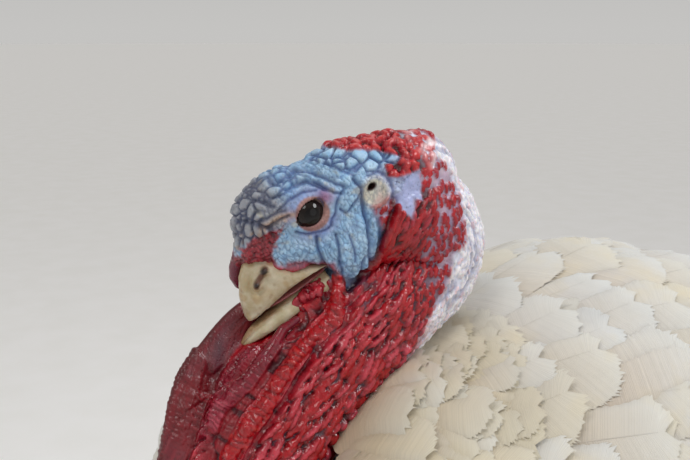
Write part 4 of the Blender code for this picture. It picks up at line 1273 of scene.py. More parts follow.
def horn_material(name, pale, dark, stain):
    """Layered, slightly see-through horn with fine lines of growth and brown stains."""
    made, tree, shader = node_material(name)
    tint = attribute(tree, "tint")["Color"]
    place = scaled_place(tree, (1, 1, 1))
    cloud = add(tree, "ShaderNodeTexNoise", Vector=place, Scale=120.0, Detail=5.0, Roughness=0.6)
    grain = add(tree, "ShaderNodeTexNoise", Vector=scaled_place(tree, (1.0, 0.35, 0.6)), Scale=700.0,
                Detail=4.0)
    body = mix(tree, "MIX", remap(tree, cloud.outputs[0], 0.35, 0.65, 0, 1), dark, pale)
    spots = add(tree, "ShaderNodeTexVoronoi", Vector=place, Scale=210.0)
    spot = remap(tree, spots.outputs["Distance"], 0.10, 0.24, 0.75, 0.0)
    speckled = mix(tree, "MIX", spot, body, stain)
    tinted = mix(tree, "MULTIPLY", 1.0, mix(tree, "MIX", 0.35, body, speckled), tint)
    tree.links.new(tinted, shader.inputs["Base Color"])
    tree.links.new(remap(tree, grain.outputs[0], 0.3, 0.7, 0.30, 0.5), shader.inputs["Roughness"])
    shader.inputs["Subsurface Weight"].default_value = 0.1
    shader.inputs["Subsurface Scale"].default_value = 0.002
    bump(tree, shader, mix(tree, "MIX", 0.4, grain.outputs[0], cloud.outputs[0]), 0.35, 0.0005)
    return made


def eye_material():
    made, tree, shader = node_material("eye_ball")
    tint = attribute(tree, "tint")["Color"]
    streaks = add(tree, "ShaderNodeTexNoise", Vector=scaled_place(tree, (1, 1, 1)), Scale=1300.0, Detail=3.0)
    tree.links.new(mix(tree, "MULTIPLY", 0.8, tint, remap(tree, streaks.outputs[0], 0.3, 0.7, 0.5, 1.3)),
                   shader.inputs["Base Color"])
    shader.inputs["Roughness"].default_value = 0.04
    shader.inputs["Specular IOR Level"].default_value = 0.28
    return made


def claw_material():
    """Horn of claws, spurs and bristles: its own tint, with fine lengthwise streaks."""
    made, tree, shader = node_material("claw_horn")
    streak = add(tree, "ShaderNodeTexNoise", Vector=scaled_place(tree, (1, 1, 0.4)), Scale=700.0, Detail=3.0)
    tree.links.new(mix(tree, "MULTIPLY", 1.0, attribute(tree, "tint")["Color"],
                       remap(tree, streak.outputs[0], 0.3, 0.7, 0.78, 1.12)), shader.inputs["Base Color"])
    shader.inputs["Roughness"].default_value = 0.42
    bump(tree, shader, streak.outputs[0], 0.3, 0.0003)
    return made


# ---------------------------------------------------------------- the skin

FINER_TOWARDS = np.array((0.80, -0.56, 0.20))
FINER_ABOVE = 560


def fine_flesh_mesh():
    """Bare head and neck: a surface net, finer on the left of the head and upper neck."""
    step = 1.25
    axes = [np.arange(low, high, step) for low, high in ((-54, 56), (-288, -52), (508, 766))]
    values = near_surface(flesh, axes, 13)
    verts, quads = surface_net(values, axes)
    verts = settle(flesh, verts, 1)
    centres = verts[quads].mean(1)
    normals = unit(np.cross(verts[quads[:, 2]] - verts[quads[:, 0]], verts[quads[:, 3]] - verts[quads[:, 1]]))
    facing = normals @ FINER_TOWARDS
    chosen = (facing > -0.1) & (centres[:, 2] > FINER_ABOVE)
    verts, quads, mixed = finer(verts, quads, chosen)
    verts = settle(flesh, verts, 2)
    return verts, quads, mixed


def make_skin():
    """One skin for the whole bird: bare head and neck, legs, and what lies under the feathers."""
    verts, quads, mixed = fine_flesh_mesh()
    outward = slope(flesh, verts, 0.6)
    raised, colour, wet = skin_detail(verts, outward)
    verts = verts + outward * raised[:, None]
    points, faces, tints, start = [verts], [quads, *mixed], [colour], len(verts)
    legs, scales, tint = leg_mesh()
    for side in (1, -1):
        points.append(legs * np.array((side, 1, 1)))
        faces.append((scales if side > 0 else scales[:, ::-1]) + start)
        tints.append(tint)
        start += len(legs)
    for rings in inner_rings():
        made, loose = ring_loft(rings)
        points.append(made)
        faces += [[v + start for v in face] for face in loose]
        tints.append(np.tile(linear(226, 220, 210), (len(made), 1)))
        start += len(made)
    wet = np.concatenate((wet, np.zeros(start - len(verts))))
    colour = np.concatenate(tints)
    skin = new_mesh("skin", np.concatenate(points), faces)
    store(skin, "tint", colour)
    store(skin, "wet", wet)
    skin.data.materials.append(skin_material())
    return skin


# ---------------------------------------------------------------- eyes and bill

def ring_loft(rings):
    """Points and quads of a closed tube of rings, its ends drawn together to a point."""
    count = len(rings[0])
    verts = [rings[0].mean(0)[None], *rings, rings[-1].mean(0)[None]]
    faces = [(0, 1 + i, 1 + (i + 1) % count) for i in range(count)]
    for row in range(len(rings) - 1):
        a, b = 1 + row * count, 1 + (row + 1) * count
        faces += [(a + i, b + i, b + (i + 1) % count, a + (i + 1) % count) for i in range(count)]
    last, end = 1 + (len(rings) - 1) * count, 1 + len(rings) * count
    faces += [(last + i, end, last + (i + 1) % count) for i in range(count)]
    return np.concatenate(verts), faces


def make_eye(label, side):
    """Ball of the eye with a slightly bulging cornea, black pupil and very dark brown iris."""
    steps, sides = 40, 64
    turns = np.linspace(0, 2 * math.pi, sides, endpoint=False)
    rings = []
    for angle in np.linspace(0.03, math.pi - 0.03, steps):
        radius = EYE_RADIUS + 0.35 * math.exp(-(angle / 0.55) ** 2) - 0.15
        rings.append(np.stack((radius * math.sin(angle) * np.cos(turns),
                               np.full(sides, radius * math.cos(angle)),
                               radius * math.sin(angle) * np.sin(turns)), -1))
    verts, faces = ring_loft(rings)
    tilt = math.radians(7)
    turned = verts * np.array((1, side, 1))
    turned = np.stack((turned[:, 0] + side * turned[:, 1] * math.sin(tilt), turned[:, 1], turned[:, 2]), -1)
    if side > 0:
        faces = [f[::-1] for f in faces]
    at = EYE_AT * np.array((1, side, 1))
    eye = new_mesh(f"eyeball_{label}", from_head(turned + at), faces)
    off_axis = np.degrees(np.arccos(np.clip(verts[:, 1] / length(verts), -1, 1)))
    tint = np.tile(linear(16, 12, 12), (len(verts), 1))
    tint = paint(tint, linear(30, 22, 19), smoothstep(26, 30, off_axis) * smoothstep(47, 42, off_axis))
    tint = paint(tint, linear(20, 14, 14), smoothstep(43, 47, off_axis))
    tint = paint(tint, linear(150, 130, 120), smoothstep(54, 60, off_axis))
    store(eye, "tint", tint)
    eye.data.materials.append(EYE_LOOK)
    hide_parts(f"eye_{label}")
    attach(eye, "root")
    return eye


BILL_UPPER = (
    (6, -28, -30, 11.4), (14, -22.5, -28.9, 12.2), (22, -16, -29.2, 12), (28, -7, -30.2, 10.8),
    (33, -4.8, -31.2, 9.6), (38, -6.6, -31.9, 8.6), (43, -11, -32.4, 7.6), (46.5, -16.2, -32.7, 6.6),
    (49, -20.4, -32.8, 5.4), (50.8, -26, -32.4, 4.2), (51.9, -29.6, -31.6, 2.8),
)
BILL_LOWER = (
    (8, -32.6, -42.0, 11.2), (18, -32.8, -42.6, 11.0), (28, -33.6, -42.3, 9.8), (38, -35.4, -42.5, 8.3),
    (47, -36.4, -42.9, 6.4), (53, -37.2, -42.9, 4.4), (57.5, -38.8, -42.4, 2.5), (60.3, -40.3, -41.8, 0.9),
)
NOSTRIL = ((31.8, -13.0), (35.2, -14.6), (38.5, -16.4), (40.2, -17.8))
OPERCULUM = ((40.4, -12.4), (42.0, -15.6), (42.9, -19.2), (41.6, -21.6), (38.6, -21.6))


def bill_rings(sections, sides, steps):
    rings = []
    for forward, top, bottom, half_width in catmull(sections, steps):
        middle = bottom + (top - bottom) * 0.3
        turns = np.linspace(0, 2 * math.pi, sides, endpoint=False)
        rise = np.where(np.sin(turns) > 0, (top - middle) * np.sin(turns),
                        (bottom - middle) * np.abs(np.sin(turns)) ** 0.5)
        rings.append(np.stack((np.full(sides, forward), half_width * np.cos(turns), middle + rise), -1))
    return rings


def grown(verts, faces, raised):
    """Moves each point out along its normal."""
    work = bpy.data.meshes.new("work")
    work.from_pydata(verts.tolist(), [], faces)
    normals = np.array([n.vector[:] for n in work.vertex_normals])
    bpy.data.meshes.remove(work)
    return verts + normals * raised[:, None]


def make_bill_upper():
    verts, faces = ring_loft(bill_rings(BILL_UPPER, 112, 10))
    q = verts[:, [0, 2]]
    side = np.abs(verts[:, 1])
    on_side = smoothstep(1.5, 4, side)
    slot, _ = stroke_distance(q, NOSTRIL)
    pits = np.minimum(length(q - (32.8, -13.4)) / 1.9, length(q - (39.2, -17.0)) / 1.5)
    rim, _ = stroke_distance(q, OPERCULUM)
    raised = -2.1 * np.exp(-(slot / 1.4) ** 2) * on_side - 2.2 * np.exp(-pits ** 2) * on_side
    raised += 1.5 * np.exp(-(rim / 1.2) ** 2) * on_side
    raised += 0.45 * np.exp(-((slot - 3.2) / 0.8) ** 2) * on_side
    edge = smoothstep(-29.5, -32, verts[:, 2] + 0.13 * (verts[:, 0] - 28) * 1.4)
    raised += 0.3 * edge + 0.10 * value_noise(verts / np.array((5, 5, 1.6)), 3)
    raised -= 0.25 * smoothstep(0.2, 0.7, value_noise(verts / 2.4, 4))
    verts = grown(verts, faces, raised)
    bill = new_mesh("upper_bill", from_head(verts), faces)
    tint = np.ones((len(verts), 3))
    tint = paint(tint, (0.24, 0.11, 0.08), smoothstep(1.9, 0.8, slot) * on_side)
    # painted shade: the nostril holes near black
    tint = paint(tint, (0.04, 0.02, 0.02), smoothstep(1.15, 0.55, pits) * on_side)
    tint = paint(tint, (1.12, 1.12, 1.12), np.exp(-(rim / 1.2) ** 2) * on_side)
    tint = paint(tint, (0.78, 0.62, 0.42), 0.6 * smoothstep(0.1, 0.6, value_noise(verts / 4, 8)))
    culmen = smoothstep(3.2, 1.0, length(q - (46.5, -18.0)))
    tint = paint(tint, (0.66, 0.44, 0.26), 0.7 * culmen * smoothstep(-0.4, 0.3, value_noise(verts / 2, 9)))
    base, _ = stroke_distance(q, ((28.4, -11), (24, -18.2), (12.2, -23.5)))
    tint = paint(tint, (0.80, 0.30, 0.26), 0.6 * np.exp(-(base / 1.8) ** 2))
    tint = paint(tint, (0.45, 0.28, 0.22), smoothstep(0.6, -0.4, verts[:, 2] + 30 + 0.22 * (verts[:, 0] - 14))
                 * smoothstep(11, 7, side) * 0.9)
    store(bill, "tint", tint)
    bill.data.materials.append(HORN_UPPER)
    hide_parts("bill_upper")
    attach(bill, "root")


def make_bill_lower():
    verts, faces = ring_loft(bill_rings(BILL_LOWER, 96, 12))
    side = np.abs(verts[:, 1])
    top = catmull(BILL_LOWER, 12)
    level = np.interp(verts[:, 0], top[:, 0], top[:, 1])
    width = np.interp(verts[:, 0], top[:, 0], top[:, 3])
    inside = smoothstep(0.82, 0.5, side / width) * smoothstep(2.2, 0.4, level - verts[:, 2])
    raised = -0.9 * inside + 0.08 * value_noise(verts / np.array((6, 6, 1.5)), 13)
    raised -= 0.2 * smoothstep(0.2, 0.7, value_noise(verts / 2.2, 14))
    verts = grown(verts, faces, raised)
    bill = new_mesh("lower_bill", from_head(verts), faces)
    tint = np.ones((len(verts), 3))
    tint = paint(tint, (0.94, 0.92, 0.80), 0.5)
    tint = paint(tint, (0.62, 0.42, 0.30), inside * 0.9)
    tint = paint(tint, (0.80, 0.66, 0.54), 0.3 * smoothstep(26, 12, verts[:, 0]))
    tint = paint(tint, (0.82, 0.74, 0.58), 0.5 * smoothstep(0.1, 0.6, value_noise(verts / 4, 18)))
    store(bill, "tint", tint)
    bill.data.materials.append(HORN_LOWER)
    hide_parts("bill_lower")
    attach(bill, "root")


EYE_LOOK = eye_material()
CLAW_LOOK = claw_material()
HORN_UPPER = horn_material("horn_upper", tuple(linear(200, 189, 165)), tuple(linear(176, 159, 126)),
                           tuple(linear(120, 72, 44)))
HORN_LOWER = horn_material("horn_lower", tuple(linear(214, 204, 180)), tuple(linear(188, 176, 142)),
                           tuple(linear(120, 84, 50)))


# ---------------------------------------------------------------- the feathered body

TRUNK = (
    (-286, 473, 467, 3), (-283, 486, 454, 18), (-274, 503, 430, 54), (-250, 536, 372, 98),
    (-208, 581, 316, 140), (-150, 619, 278, 170), (-90, 644, 261, 185), (-30, 662, 260, 190),
    (30, 671, 270, 188), (90, 665, 291, 179), (150, 648, 322, 161), (210, 622, 361, 136),
    (265, 588, 404, 104), (313, 548, 450, 65), (338, 516, 484, 18), (342, 503, 497, 3),
)
TAIL = (
    (0, 255, 525, 60, 34), (0, 320, 505, 76, 28), (0, 400, 482, 94, 20), (0, 480, 458, 110, 14),
    (0, 550, 437, 118, 10), (0, 600, 421, 110, 8), (0, 630, 411, 80, 6),
)
WING = (
    (134, -188, 505, 18, 24), (153, -160, 502, 27, 56), (177, -100, 494, 29, 86),
    (189, -20, 484, 28, 99), (185, 60, 476, 27, 101), (167, 140, 466, 25, 94),
    (137, 220, 452, 21, 80), (106, 290, 438, 16, 60), (82, 350, 424, 11, 38), (69, 392, 414, 7, 18),
)
THIGH = (
    (80, 50, 345, 60, 82), (88, 42, 298, 54, 74), (94, 52, 254, 42, 56), (98, 75, 220, 29, 36),
    (100, 95, 196, 19, 22), (100, 103, 184, 14.8, 16),
)
FULLNESS = 2 / 0.88
COAT_DEPTH = 17.0
TRUNK_SCALE = 170.0                        # turns trunk_field's ratio into rough millimetres
FAR_OUT = 60.0                             # the farthest that a feather is drawn in towards the body
NECK_BASE = np.array((0.0, -212.0, 566.0))
TRUNK_ROWS = catmull(TRUNK, 6)


def trunk_field(p):
    """Roughly how far a point is outside the feathered body, along its normal."""
    y = np.clip(p[:, 1], TRUNK_ROWS[0, 0], TRUNK_ROWS[-1, 0])
    top, bottom, wide = [np.interp(y, TRUNK_ROWS[:, 0], TRUNK_ROWS[:, i]) for i in (1, 2, 3)]
    x = np.abs(p[:, 0]) / wide
    z = np.abs(p[:, 2] - (top + bottom) / 2) / ((top - bottom) / 2)
    return (x ** FULLNESS + z ** FULLNESS + 1e-9) ** (1 / FULLNESS) - 1


def field_step(field, p, step=1.5):
    """Signed distance and outward normal of a rough field."""
    value = field(p)
    gradient = np.stack([field(p + o) - field(p - o) for o in np.eye(3) * step], -1) / (2 * step)
    steep = np.maximum(length(gradient), 1e-5)
    return value / steep, gradient / steep[:, None]


def thigh_field(p):
    rows = catmull(THIGH, 4)[::-1]
    z = np.clip(p[:, 2], rows[0, 2], rows[-1, 2])
    x0, y0, wide, deep = [np.interp(z, rows[:, 2], rows[:, i]) for i in (0, 1, 3, 4)]
    return np.hypot((np.abs(p[:, 0]) - x0) / wide, (p[:, 1] - y0) / deep) - 1


def feather_template(barbs, seed, rachis=True, splits=0.16, levels=(0.5, 0.93), fringe=0.0):
    """A feather one long and two wide: places along and across it, quads, triangles, and barb number.

    The vane is made of barbs that leave the shaft slantwise; their tips stand apart, and now and then
    the vane is split between two of them.
    """
    rng = np.random.default_rng(seed)
    stops = (0, 0.08, 0.2, 0.4, 0.62, 0.8, 0.9, 0.96, 1.0, 1.04)
    reach = (0.05, 0.30, 0.62, 0.90, 1.0, 0.97, 0.88, 0.72, 0.45, 0.15)
    root = np.linspace(0.04, 0.975, barbs + 1)
    along, across, number = [root], [np.zeros(barbs + 1)], [np.arange(barbs + 1.0)]
    quads, tris = [], []
    total = barbs + 1
    for side in (1, -1):
        edge = np.minimum(root + 0.16 * (1 - 0.55 * root), 1.035)
        width = np.interp(edge, stops, reach)
        split = rng.random(barbs + 1) < splits
        split[[0, -1]] = False
        rings = []
        for fraction in levels:
            f = np.where(split, fraction * (0.72 if fraction > 0.6 else 0.9), fraction)
            along.append(root + (edge - root) * f ** 1.15)
            across.append(side * width * f)
            number.append(np.arange(barbs + 1.0))
            rings.append(total + np.arange(barbs + 1))
            total += barbs + 1
        middle = (edge[1:] + edge[:-1]) / 2 + rng.normal(0, 0.3 / barbs, barbs)
        clump = np.repeat(rng.uniform(-0.4, 1.0, barbs // 5 + 1), 5)[:barbs]
        ragged = fringe * smoothstep(0.58, 1.0, middle) * (0.15 * clump + rng.uniform(-0.3, 0.7, barbs))
        along.append(middle + 0.5 / barbs + 0.5 * ragged)
        uneven = 1.0 + rng.normal(0, 1.2 / barbs, barbs) + ragged
        across.append(side * np.interp(middle, stops, reach) * uneven)
        number.append(np.arange(barbs) + 0.5)
        tips = total + np.arange(barbs)
        total += barbs
        shaft = np.arange(barbs + 1)
        for inner, outer in zip((shaft, *rings), rings):
            ring = np.stack((inner[:-1], outer[:-1], outer[1:], inner[1:]), -1)
            quads.append(ring if side > 0 else ring[:, ::-1])
        point = np.stack((rings[-1][:-1], tips, rings[-1][1:]), -1)
        tris.append(point if side > 0 else point[:, ::-1])
    height = [np.zeros(total)]
    if rachis:
        stations = np.linspace(0.0, 0.94, 9)
        thick = 0.020 * (1 - 0.8 * stations)
        base = total
        for offset, rise in ((-1, 0), (0, 1), (1, 0)):
            along.append(stations)
            across.append(offset * thick)
            number.append(np.zeros(9))
            height.append(rise * thick * 0.5 + 0.002)
        left, crest, right = [base + 9 * k + np.arange(9) for k in range(3)]
        for a, b in ((left, crest), (crest, right)):
            quads.append(np.stack((a[:-1], b[:-1], b[1:], a[1:]), -1)[:, ::-1])
    return {"along": np.concatenate(along), "across": np.concatenate(across),
            "barb": np.concatenate(number), "height": np.concatenate(height),
            "quads": np.concatenate(quads), "tris": np.concatenate(tris)}


def lay_feathers(roots, normals, flows, sizes, template, rng, field=None, depth=COAT_DEPTH, lift=1.0,
                 ruffle=0.12, at_root=0.10):
    """Vertices, F by V by 3, of feathers that leave the skin at their roots and lie along the flow."""
    count = len(roots)
    a, c, h = template["along"], template["across"], template["height"]
    long, half = sizes[:, 0], sizes[:, 1] / 2
    yaw = rng.normal(0, ruffle, count)
    flow = unit(flows - normals * (flows * normals).sum(-1)[:, None])
    side = np.cross(flow, normals)
    turned = flow * np.cos(yaw)[:, None] + side * np.sin(yaw)[:, None]
    side = np.cross(turned, normals)
    bend = rng.normal(0, 0.05, count)
    s = a[None, :] * long[:, None]
    w = c[None, :] * half[:, None] + (bend * long)[:, None] * a[None, :] ** 2
    points = roots[:, None, :] + s[..., None] * turned[:, None, :] + w[..., None] * side[:, None, :]
    tilt = rng.normal(0, 0.08, count)[:, None] * c[None, :] * half[:, None]
    rise = lift * depth * (at_root + (1 - at_root) * np.clip(a, 0, 1) ** 0.75)[None, :]
    loose = 1.3 - 3 * at_root if at_root < 0.4 else 0.3
    rise = rise * (1 + rng.normal(0, 0.10 * loose, count)[:, None])
    curl = rng.normal(0.02, 0.035, count)[:, None] * loose * long[:, None] * a[None, :] ** 3
    camber = -0.16 * c[None, :] ** 2 * half[:, None] * (0.4 + 0.6 * a[None, :])
    ripple = 0.14 * np.sin(template["barb"] * 1.9)[None, :] * np.abs(c)[None, :]
    up = rise + tilt * a[None, :] + curl + camber + ripple + h[None, :] * half[:, None]
    if field is None:
        return points + up[..., None] * normals[:, None, :]
    flat = points.reshape(-1, 3)
    out, facing = field_step(field, flat)
    flat = flat - facing * (np.clip(out, -FAR_OUT, FAR_OUT) + depth)[:, None]
    out, facing = field_step(field, flat)
    out = np.clip(out, -FAR_OUT, FAR_OUT)
    flat = flat + facing * (up.reshape(-1) - out - depth)[:, None]
    return flat.reshape(points.shape)


def for_each(count, value):
    """A value for each of so many feathers; one number serves them all."""
    return np.zeros(count) + value


def patches(u, v, template):
    """Where each feather's vertices lie on the bake map: a small patch at its root's own place."""
    size = 0.003
    x = u[:, None] + size * (template["across"][None, :] * 0.5)
    y = v[:, None] + size * (template["along"][None, :] - 0.5)
    return np.stack((x, y), -1)


def coat_piece(name, batches, nodes, look):
    """Joins batches of laid feathers into one mesh with its bake map and its attributes."""
    verts, quads, tris, maps, along, barb, tone = [], [], [], [], [], [], []
    start = 0
    for batch in batches:
        template, laid = batch["template"], batch["verts"]
        count, size = laid.shape[:2]
        shift = (start + np.arange(count) * size)[:, None, None]
        verts.append(laid.reshape(-1, 3))
        quads.append((template["quads"][None] + shift).reshape(-1, 4))
        tris.append((template["tris"][None] + shift).reshape(-1, 3))
        maps.append(patches(batch["u"], batch["v"], template).reshape(-1, 2))
        along.append(np.tile(template["along"], count))
        barb.append(np.tile(template["barb"], count) + np.repeat(np.arange(count) * 7.31, size))
        tone.append(np.repeat(batch["tone"], size))
        start += count * size
    obj = new_mesh(name, np.concatenate(verts), [np.concatenate(quads), np.concatenate(tris)])
    store(obj, "along", np.concatenate(along))
    store(obj, "barb", np.concatenate(barb))
    store(obj, "tone", np.concatenate(tone))
    layer = obj.data.uv_layers.new(name="OFBake")
    corner = np.empty(len(obj.data.loops), np.int32)
    obj.data.loops.foreach_get("vertex_index", corner)
    layer.data.foreach_set("uv", np.concatenate(maps)[corner].astype(np.float32).ravel())
    obj.data.materials.append(look)
    if nodes:
        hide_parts(*nodes)
    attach(obj, "root")
    return obj


def plumage_material(name, white, root_shade, cream):
    """White vane: fine barbs, painted shade warm and dark at the root, a few creamy feathers."""
    made, tree, shader = node_material(name)
    along = attribute(tree, "along")["Fac"]
    barb = attribute(tree, "barb")["Fac"]
    tone = attribute(tree, "tone")["Fac"]
    rows = add(tree, "ShaderNodeCombineXYZ")
    stretch = add(tree, "ShaderNodeMath", operation="MULTIPLY")
    tree.links.new(barb, stretch.inputs[0])
    stretch.inputs[1].default_value = 5.0
    tree.links.new(stretch.outputs[0], rows.inputs[0])
    tree.links.new(along, rows.inputs[1])
    lines = add(tree, "ShaderNodeTexNoise", Vector=rows.outputs[0], Scale=1.0, Detail=3.0)
    soft = add(tree, "ShaderNodeTexNoise", Vector=scaled_place(tree, (1, 1, 1)), Scale=26.0, Detail=3.0)
    # painted shade: warmer and darker towards the root, where the next feathers cover the vane
    base = mix(tree, "MIX", remap(tree, along, 0.45, 1.0, 0.85, 0.0), white, root_shade)
    stain = remap(tree, soft.outputs[0], 0.54, 0.72, 0.0, 0.4)
    base = mix(tree, "MIX", stain, base, cream)
    toned = mix(tree, "MIX", remap(tree, tone, 0.0, 1.0, 0.0, 0.6), base, cream)
    clouded = mix(tree, "MULTIPLY", 1.0, toned, remap(tree, soft.outputs[0], 0.3, 0.7, 0.93, 1.03))
    lined = mix(tree, "MULTIPLY", 1.0, clouded, remap(tree, lines.outputs[0], 0.3, 0.7, 0.86, 1.05))
    tree.links.new(lined, shader.inputs["Base Color"])
    tree.links.new(remap(tree, lines.outputs[0], 0.3, 0.7, 0.5, 0.68), shader.inputs["Roughness"])
    shader.inputs["Sheen Weight"].default_value = 0.25
    shader.inputs["Sheen Roughness"].default_value = 0.4
    shader.inputs["Specular IOR Level"].default_value = 0.3
    shader.inputs["Subsurface Weight"].default_value = 0.15
    shader.inputs["Subsurface Radius"].default_value = (1.0, 0.9, 0.7)
    shader.inputs["Subsurface Scale"].default_value = 0.006
    bump(tree, shader, lines.outputs[0], 0.35, 0.0006)
    return made


WHITE = tuple(linear(221, 221, 217))
ROOT_SHADE = tuple(linear(196, 176, 154))
YELLOWISH = tuple(linear(214, 198, 158))
PLUMAGE_LOOK = plumage_material("plumage", WHITE, ROOT_SHADE, YELLOWISH)
QUICK = 1.0
FINE = [feather_template(72, 100 + i, splits=0.012, levels=(0.5, 0.97), fringe=0.075) for i in range(4)]
COARSE = [feather_template(22, 200 + i, rachis=False, levels=(0.92,), fringe=0.10) for i in range(4)]
DOWNY = [feather_template(40, 500 + i, splits=0.03, rachis=False, levels=(0.6, 0.95), fringe=0.09)
         for i in range(4)]
LONG = [feather_template(60, 300 + i, splits=0.06) for i in range(3)]
SMALL = [feather_template(12, 400 + i, rachis=False, levels=(0.85,)) for i in range(3)]


def trunk_spots(spacing, across, rng):
    """Staggered places over the whole trunk: position, outward normal, and turn and place along it."""
    rows = TRUNK_ROWS
    middle = np.stack((rows[:, 0], rows[:, 1]), -1)
    run = np.concatenate(((0,), np.cumsum(length(np.diff(middle, axis=0)))))
    spots = []
    for k, s in enumerate(np.arange(spacing * 0.5, run[-1], spacing)):
        y = np.interp(s, run, rows[:, 0])
        top, bottom, wide = [np.interp(y, rows[:, 0], rows[:, i]) for i in (1, 2, 3)]
        high = (top - bottom) / 2
        around = math.pi * (3 * (wide + high) - math.sqrt((3 * wide + high) * (wide + 3 * high)))
        count = max(int(around / across), 4)
        turns = (np.arange(count) + 0.5 * (k % 2) + rng.uniform(-0.25, 0.25, count)) / count * 2 * math.pi
        ys = y + rng.uniform(-0.3, 0.3, count) * spacing * 0.6
        for turn, at in zip(turns, ys):
            spots.append((at, turn))
    at, turn = np.array(spots).T
    at = np.clip(at, rows[0, 0] + 1, rows[-1, 0] - 1)
    top, bottom, wide = [np.interp(at, rows[:, 0], rows[:, i]) for i in (1, 2, 3)]
    power = 2 / FULLNESS
    x = wide * np.sign(np.cos(turn)) * np.abs(np.cos(turn)) ** power
    z = (top + bottom) / 2 + (top - bottom) / 2 * np.sign(np.sin(turn)) * np.abs(np.sin(turn)) ** power
    p = np.stack((x, at, z), -1)
    _, normal = field_step(trunk_field, p)
    return p, normal, turn / (2 * math.pi) % 1, (at - rows[0, 0]) / (rows[-1, 0] - rows[0, 0])


def shared_out(p, normal, flow, sizes, u, v, tone, templates, rng, field=None, depth=COAT_DEPTH, **how):
    """Lays the same feathers in turn with each of the templates."""
    batches = []
    for k, template in enumerate(templates):
        mine = np.arange(len(p))[k::len(templates)]
        if len(mine):
            laid = lay_feathers(p[mine] - normal[mine] * depth, normal[mine], flow[mine], sizes[mine],
                                template, rng, field, depth, **how)
            batches.append({"template": template, "verts": laid, "u": u[mine], "v": v[mine],
                            "tone": tone[mine]})
    return batches


def body_feathers():
    """Contour feathers of the breast, back, belly and rump, in pieces by region."""
    rng = np.random.default_rng(7)
    spacing, across = 19 / QUICK ** 0.5, 22 / QUICK ** 0.5
    p, normal, u, v = trunk_spots(spacing, across, rng)
    away = p - NECK_BASE
    spread = np.exp(-length(away) / 130)[:, None]
    flow = unit(away) * spread * 1.6 + np.array((0, 1, -0.22)) * (1 - spread)
    covered = (np.abs(p[:, 0]) > 0.80 * np.interp(p[:, 1], TRUNK_ROWS[:, 0], TRUNK_ROWS[:, 3])) \
        & (p[:, 1] > -110) & (p[:, 1] < 140) & (p[:, 2] > 420) & (p[:, 2] < 520)
    clear_of_neck = length((p - np.array((0, -205, 575))) * np.array((1, 1, 0.6))) > 42
    keep = clear_of_neck & ~covered & (p[:, 1] > -238)
    p, normal, u, v, flow = [x[keep] for x in (p, normal, u, v, flow)]
    distance = length(p - CAMERA_AT)
    near = (distance < 660) & (p[:, 2] > 500) & (p[:, 0] > -120)
    belly = smoothstep(380, 300, p[:, 2])
    size = 84 - 24 * belly - 26 * smoothstep(-170, -260, p[:, 1]) + 26 * near + rng.normal(0, 7, len(p))
    sizes = np.stack((size, size * (0.60 + 0.05 * rng.standard_normal(len(p)))), -1)
    creamy = np.clip(0.12 + 0.5 * smoothstep(-140, -250, p[:, 1]) + 0.25 * rng.standard_normal(len(p)), 0, 1)
    for name, chosen, templates in (("back_feathers_near", near & (p[:, 1] < 20), FINE),
                                    ("back_feathers_middle", near & (p[:, 1] >= 20), FINE),
                                    ("breast_feathers", ~near & (p[:, 1] < -60), COARSE),
                                    ("rump_feathers", ~near & (p[:, 1] >= -60), COARSE)):
        batches = shared_out(p[chosen], normal[chosen], flow[chosen], sizes[chosen], u[chosen], v[chosen],
                             creamy[chosen], templates, rng, trunk_field,
                             at_root=0.28 if name == "back_feathers_near" else 0.45)
        coat_piece(name, batches, ("trunk",), PLUMAGE_LOOK)


def breast_face(x, z):
    """How far forward the breast reaches, over its front view."""
    rear, front = np.full(x.shape, -150.0), np.full(x.shape, -288.0)
    for _ in range(13):
        y = (rear + front) / 2
        outside = trunk_field(np.stack((x.ravel(), y.ravel(), z.ravel()), -1)).reshape(x.shape) > 0
        rear, front = np.where(outside, rear, y), np.where(outside, y, front)
    return -front


def breast_front():
    """Feathers of the rounded front of the breast, hanging down round the beard."""
    rng = np.random.default_rng(67)
    rows = []
    for row, z in enumerate(np.arange(556, 366, -14 / QUICK ** 0.5)):
        for x in np.arange(-112 + 9 * (row % 2), 113, 18 / QUICK ** 0.5):
            rows.append((x + rng.uniform(-4, 4), z + rng.uniform(-4, 4)))
    x, z = np.array(rows).T
    keep = (breast_face(x, z) > 216) & (np.hypot(x, z - 575) > 46)
    x, z = x[keep], z[keep]
    size = 56 + rng.normal(0, 4, len(x))
    turn = -math.pi / 2 + 0.0045 * x + rng.normal(0, 0.09, len(x))
    around = np.arctan2(z - 472, x) / (2 * math.pi) % 1
    batches = []
    for k, template in enumerate(COARSE):
        mine = np.arange(len(x))[k::len(COARSE)]
        flat, out = lay_on_face(breast_face, np.stack((x, z), -1)[mine], turn[mine],
                                np.stack((size, size * 0.66), -1)[mine], template, rng,
                                for_each(len(mine), 2.0), 1.0, 8.0)
        batches.append({"template": template, "verts": np.stack((flat[..., 0], -out, flat[..., 1]), -1),
                        "u": around[mine], "v": 0.06 + (286 - breast_face(x[mine], z[mine])) / 628,
                        "tone": np.clip(0.5 + 0.25 * rng.standard_normal(len(mine)), 0, 1)})
    coat_piece("breast_front", batches, ("trunk",), PLUMAGE_LOOK)


def tuft_field(p):
    """The body with the soft mound where the feathers are pushed up behind the neck."""
    mound = np.exp(-((p[:, 0] - 56) ** 2 + (p[:, 1] + 152) ** 2) / (2 * 30 ** 2))
    return trunk_field(p) * TRUNK_SCALE - 17 * mound


